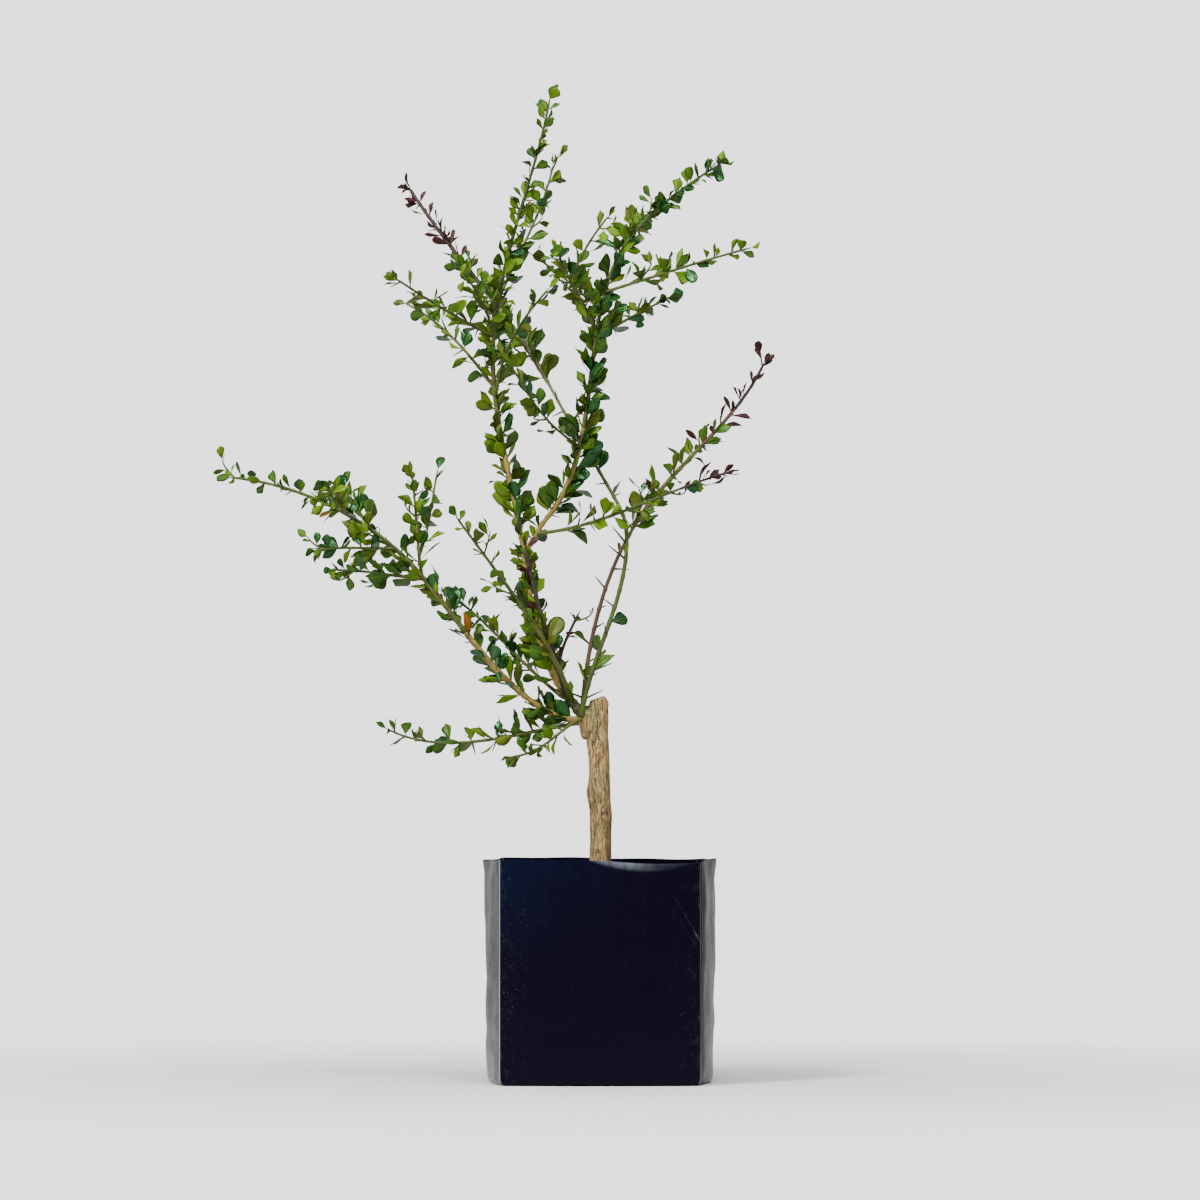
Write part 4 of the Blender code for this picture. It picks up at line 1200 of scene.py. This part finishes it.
mix = {
    "chips": 520, "chipSize": (3.5, 11.0), "chipFlatness": (0.2, 0.4),
    "grains": 90, "grainSize": (1.6, 3.2), "grainFlatness": (0.7, 1.0), "floor": 2.5,
    "coarse": (31, 14, (22, 60)), "fine": (32, 20, (5, 12)),  # seed, number and pitch of its lumps
    "earth": ((0.030, 0.018, 0.010), (0.085, 0.050, 0.028)),  # dark and pale of each
    "bark": ((0.045, 0.024, 0.012), (0.15, 0.085, 0.045)),
    "grain": ((0.42, 0.40, 0.36), (0.60, 0.58, 0.54)),
}


def mixHeight(across, deep):
    # the level of the mix: lumps of two sizes, a low mound round the trunk
    coarse, fine = [lumps(across, deep, *mix[key]) for key in ("coarse", "fine")]
    return bag["mixTop"] + 1.5 * coarse + 0.7 * fine + 3.0 * hill(np.hypot(across, deep), 30) - 1.2


def makeMix():
    # Rows run from the middle of the floor out to the film, up it, and in to the middle of the top.
    corner = bagCorners()[None, :]
    top, floor = bag["mixTop"], mix["floor"]
    rows = [(share, floor) for share in (0.2, 0.6, 1.0)]
    rows += [(1.0, height) for height in np.arange(196.0, 2.0, -6.0)[::-1]]
    rows += [(share, top) for share in np.linspace(1, 0.01, 70)]
    share, level = [np.array(part)[:, None] for part in zip(*rows)]
    across, deep = bagOutline(*np.broadcast_arrays(corner, level, bag["film"] + bag["mixInset"]))
    across, deep = across * share, deep * share
    grid = stacked(across, deep, np.where(level == top, mixHeight(across, deep), level))
    closedPiece("pottingMix", mixFinish("mixEarth", *mix["earth"]), "potting_mix", ["soil"],
                grid, grid, (0, 0, floor), (0, 0, float(mixHeight(0.0, 0.0))))


def scatter(count, size, flatness, seed):
    # Boxes with jittered corners lie at random on the mix: corner = centre + turned (half size · sign).
    dice = np.random.default_rng(seed)
    corner = dice.uniform(0, 4, count)
    share = np.sqrt(dice.uniform(0.03, 0.90, count))
    level, inset = np.full(count, bag["mixTop"]), np.full(count, 3.0)
    across, deep = [part * share for part in bagOutline(corner, level, inset)]
    centre = stacked(across, deep, mixHeight(across, deep) + 0.4)
    length = dice.uniform(*size, count)
    half = stacked(length, length * dice.uniform(0.45, 0.8, count),
                   length * dice.uniform(*flatness, count)) / 2
    signs = np.array([(a, b, c) for c in (-1, 1) for a, b in ((-1, -1), (1, -1), (1, 1), (-1, 1))])
    boxes = signs[None] * half[:, None, :] * dice.uniform(0.6, 1.1, (count, 8, 3))
    turn = dice.uniform(0, math.tau, count)[:, None]
    tilt = dice.normal(0, 0.35, count)[:, None]
    x, y, z = boxes[..., 0], boxes[..., 1], boxes[..., 2]
    x, z = x * np.cos(tilt) - z * np.sin(tilt), x * np.sin(tilt) + z * np.cos(tilt)
    x, y = x * np.cos(turn) - y * np.sin(turn), x * np.sin(turn) + y * np.cos(turn)
    points = centre[:, None, :] + stacked(x, y, z)
    faces = np.array(((0, 3, 2, 1), (4, 5, 6, 7), (0, 1, 5, 4), (1, 2, 6, 5), (2, 3, 7, 6),
                      (3, 0, 4, 7)))
    gather = Gather()
    gather.addCopies(points, points, faces)
    return gather


def mixFinish(name, dark, pale):
    paint = Paint(name)
    crumbs = paint.noise(320.0, 4, 0.7)
    colour = paint.layers(dark, (crumbs.above(0.4, 0.3), pale),
                          (paint.noise(70.0).above(0.5, 0.2) * 0.5, shade(dark, 0.6)))
    return paint.finish(colour, crumbs * 0.15 + 0.8, crumbs, 0.8, 1.2)


makeBag()
makeMix()
chips = scatter(mix["chips"], mix["chipSize"], mix["chipFlatness"], 41)
chips.piece("barkChips", [mixFinish("chipBark", *mix["bark"])], "potting_mix", [], smooth=False)
grains = scatter(mix["grains"], mix["grainSize"], mix["grainFlatness"], 42)
grains.piece("paleGrains", [mixFinish("grainPale", *mix["grain"])], "potting_mix", [])


stage = {
    "floorRadius": 4.0, "floorDrop": 0.0006, "fadeFrom": 0.22, "fadeTo": 1.1,  # metres
    "pale": (0.9, 0.9, 0.89), "background": 2.3, "horizon": 0.72, "zenith": 0.34,
    # place, size, power and colour of each light, and what they aim at
    "lights": {"key": ((-1.8, -2.4, 2.8), 1.0, 175, (1.0, 0.98, 0.95)),
               "fill": ((2.8, -1.6, 1.8), 1.8, 14, (0.95, 0.98, 1.0)),
               "top": ((0.3, -1.2, 3.2), 1.4, 75, (1, 1, 1))},
    "lightAim": Vector((0, 0, 0.6)),
    "camera": Vector((0, -6.0, 0.30)), "cameraAim": Vector((0, 0, 0.48)), "lens": 180,
}


def makeFloor():
    # a plain pale disc that fades into the background
    share = np.linspace(0.02, 1, 24)[:, None]
    angle = (math.tau * np.arange(96) / 96)[None, :]
    reach = share * stage["floorRadius"]
    grid = stacked(reach * np.cos(angle), reach * np.sin(angle), -stage["floorDrop"])
    points, _, quads, tris = wrappedGrid(grid, grid, (0, 0, -stage["floorDrop"]))
    paint = Paint("paleFloor", Roughness=0.9, Specular_IOR_Level=0.1, Base_Color=stage["pale"])
    x, y, _ = paint.parts(paint.here())
    away = (x * x + y * y).calc("SQRT")
    paint.set("Alpha", away.under(stage["fadeFrom"], stage["fadeTo"] - stage["fadeFrom"]))
    newObject("floor", points, quads[:, ::-1], tris[:, ::-1], [paint.made])


def aimAt(made, spot, aim):
    # a light or camera at a spot, turned to its aim
    made.location = spot
    made.rotation_euler = (aim - Vector(spot)).to_track_quat("-Z", "Y").to_euler()
    bpy.context.scene.collection.objects.link(made)


def addLight(name, spot, size, power, colour):
    light = bpy.data.lights.new(name, "AREA")
    light.shape = "DISK"
    light.size = size
    light.energy = power
    light.color = colour
    aimAt(bpy.data.objects.new(name, light), spot, stage["lightAim"])


def makeStage():
    makeFloor()
    sky = Paint("paleStudio", bpy.data.worlds)
    nodes = sky.tree.nodes
    height = sky.parts(sky.node("ShaderNodeTexCoord"))[2]
    ramp = sky.node("ShaderNodeValToRGB", None, {0: height})
    greys = ((0.2, stage["horizon"]), (0.6, stage["zenith"]))
    for stop, (at, grey) in zip(ramp.socket.node.color_ramp.elements, greys):
        stop.position = at
        stop.color = (grey, grey, grey, 1)
    sky.plug(nodes["Background"].inputs["Color"], ramp)
    # what the eye sees behind the plant is plain and pale
    plain = sky.node("ShaderNodeBackground", None, {"Color": (1, 1, 1), "Strength": stage["background"]})
    links = {0: sky.node("ShaderNodeLightPath"), 1: Wire(sky, nodes["Background"].outputs[0]), 2: plain}
    sky.plug(nodes["World Output"].inputs["Surface"], sky.node("ShaderNodeMixShader", None, links))
    bpy.context.scene.world = sky.made
    for name, light in stage["lights"].items():
        addLight(name + "Light", *light)
    camera = bpy.data.objects.new("camera", bpy.data.cameras.new("camera"))
    camera.data.lens = stage["lens"]
    camera.data.sensor_width = 36
    aimAt(camera, stage["camera"], stage["cameraAim"])
    bpy.context.scene.camera = camera


makeStage()
bpy.context.view_layer.update()
print("done")
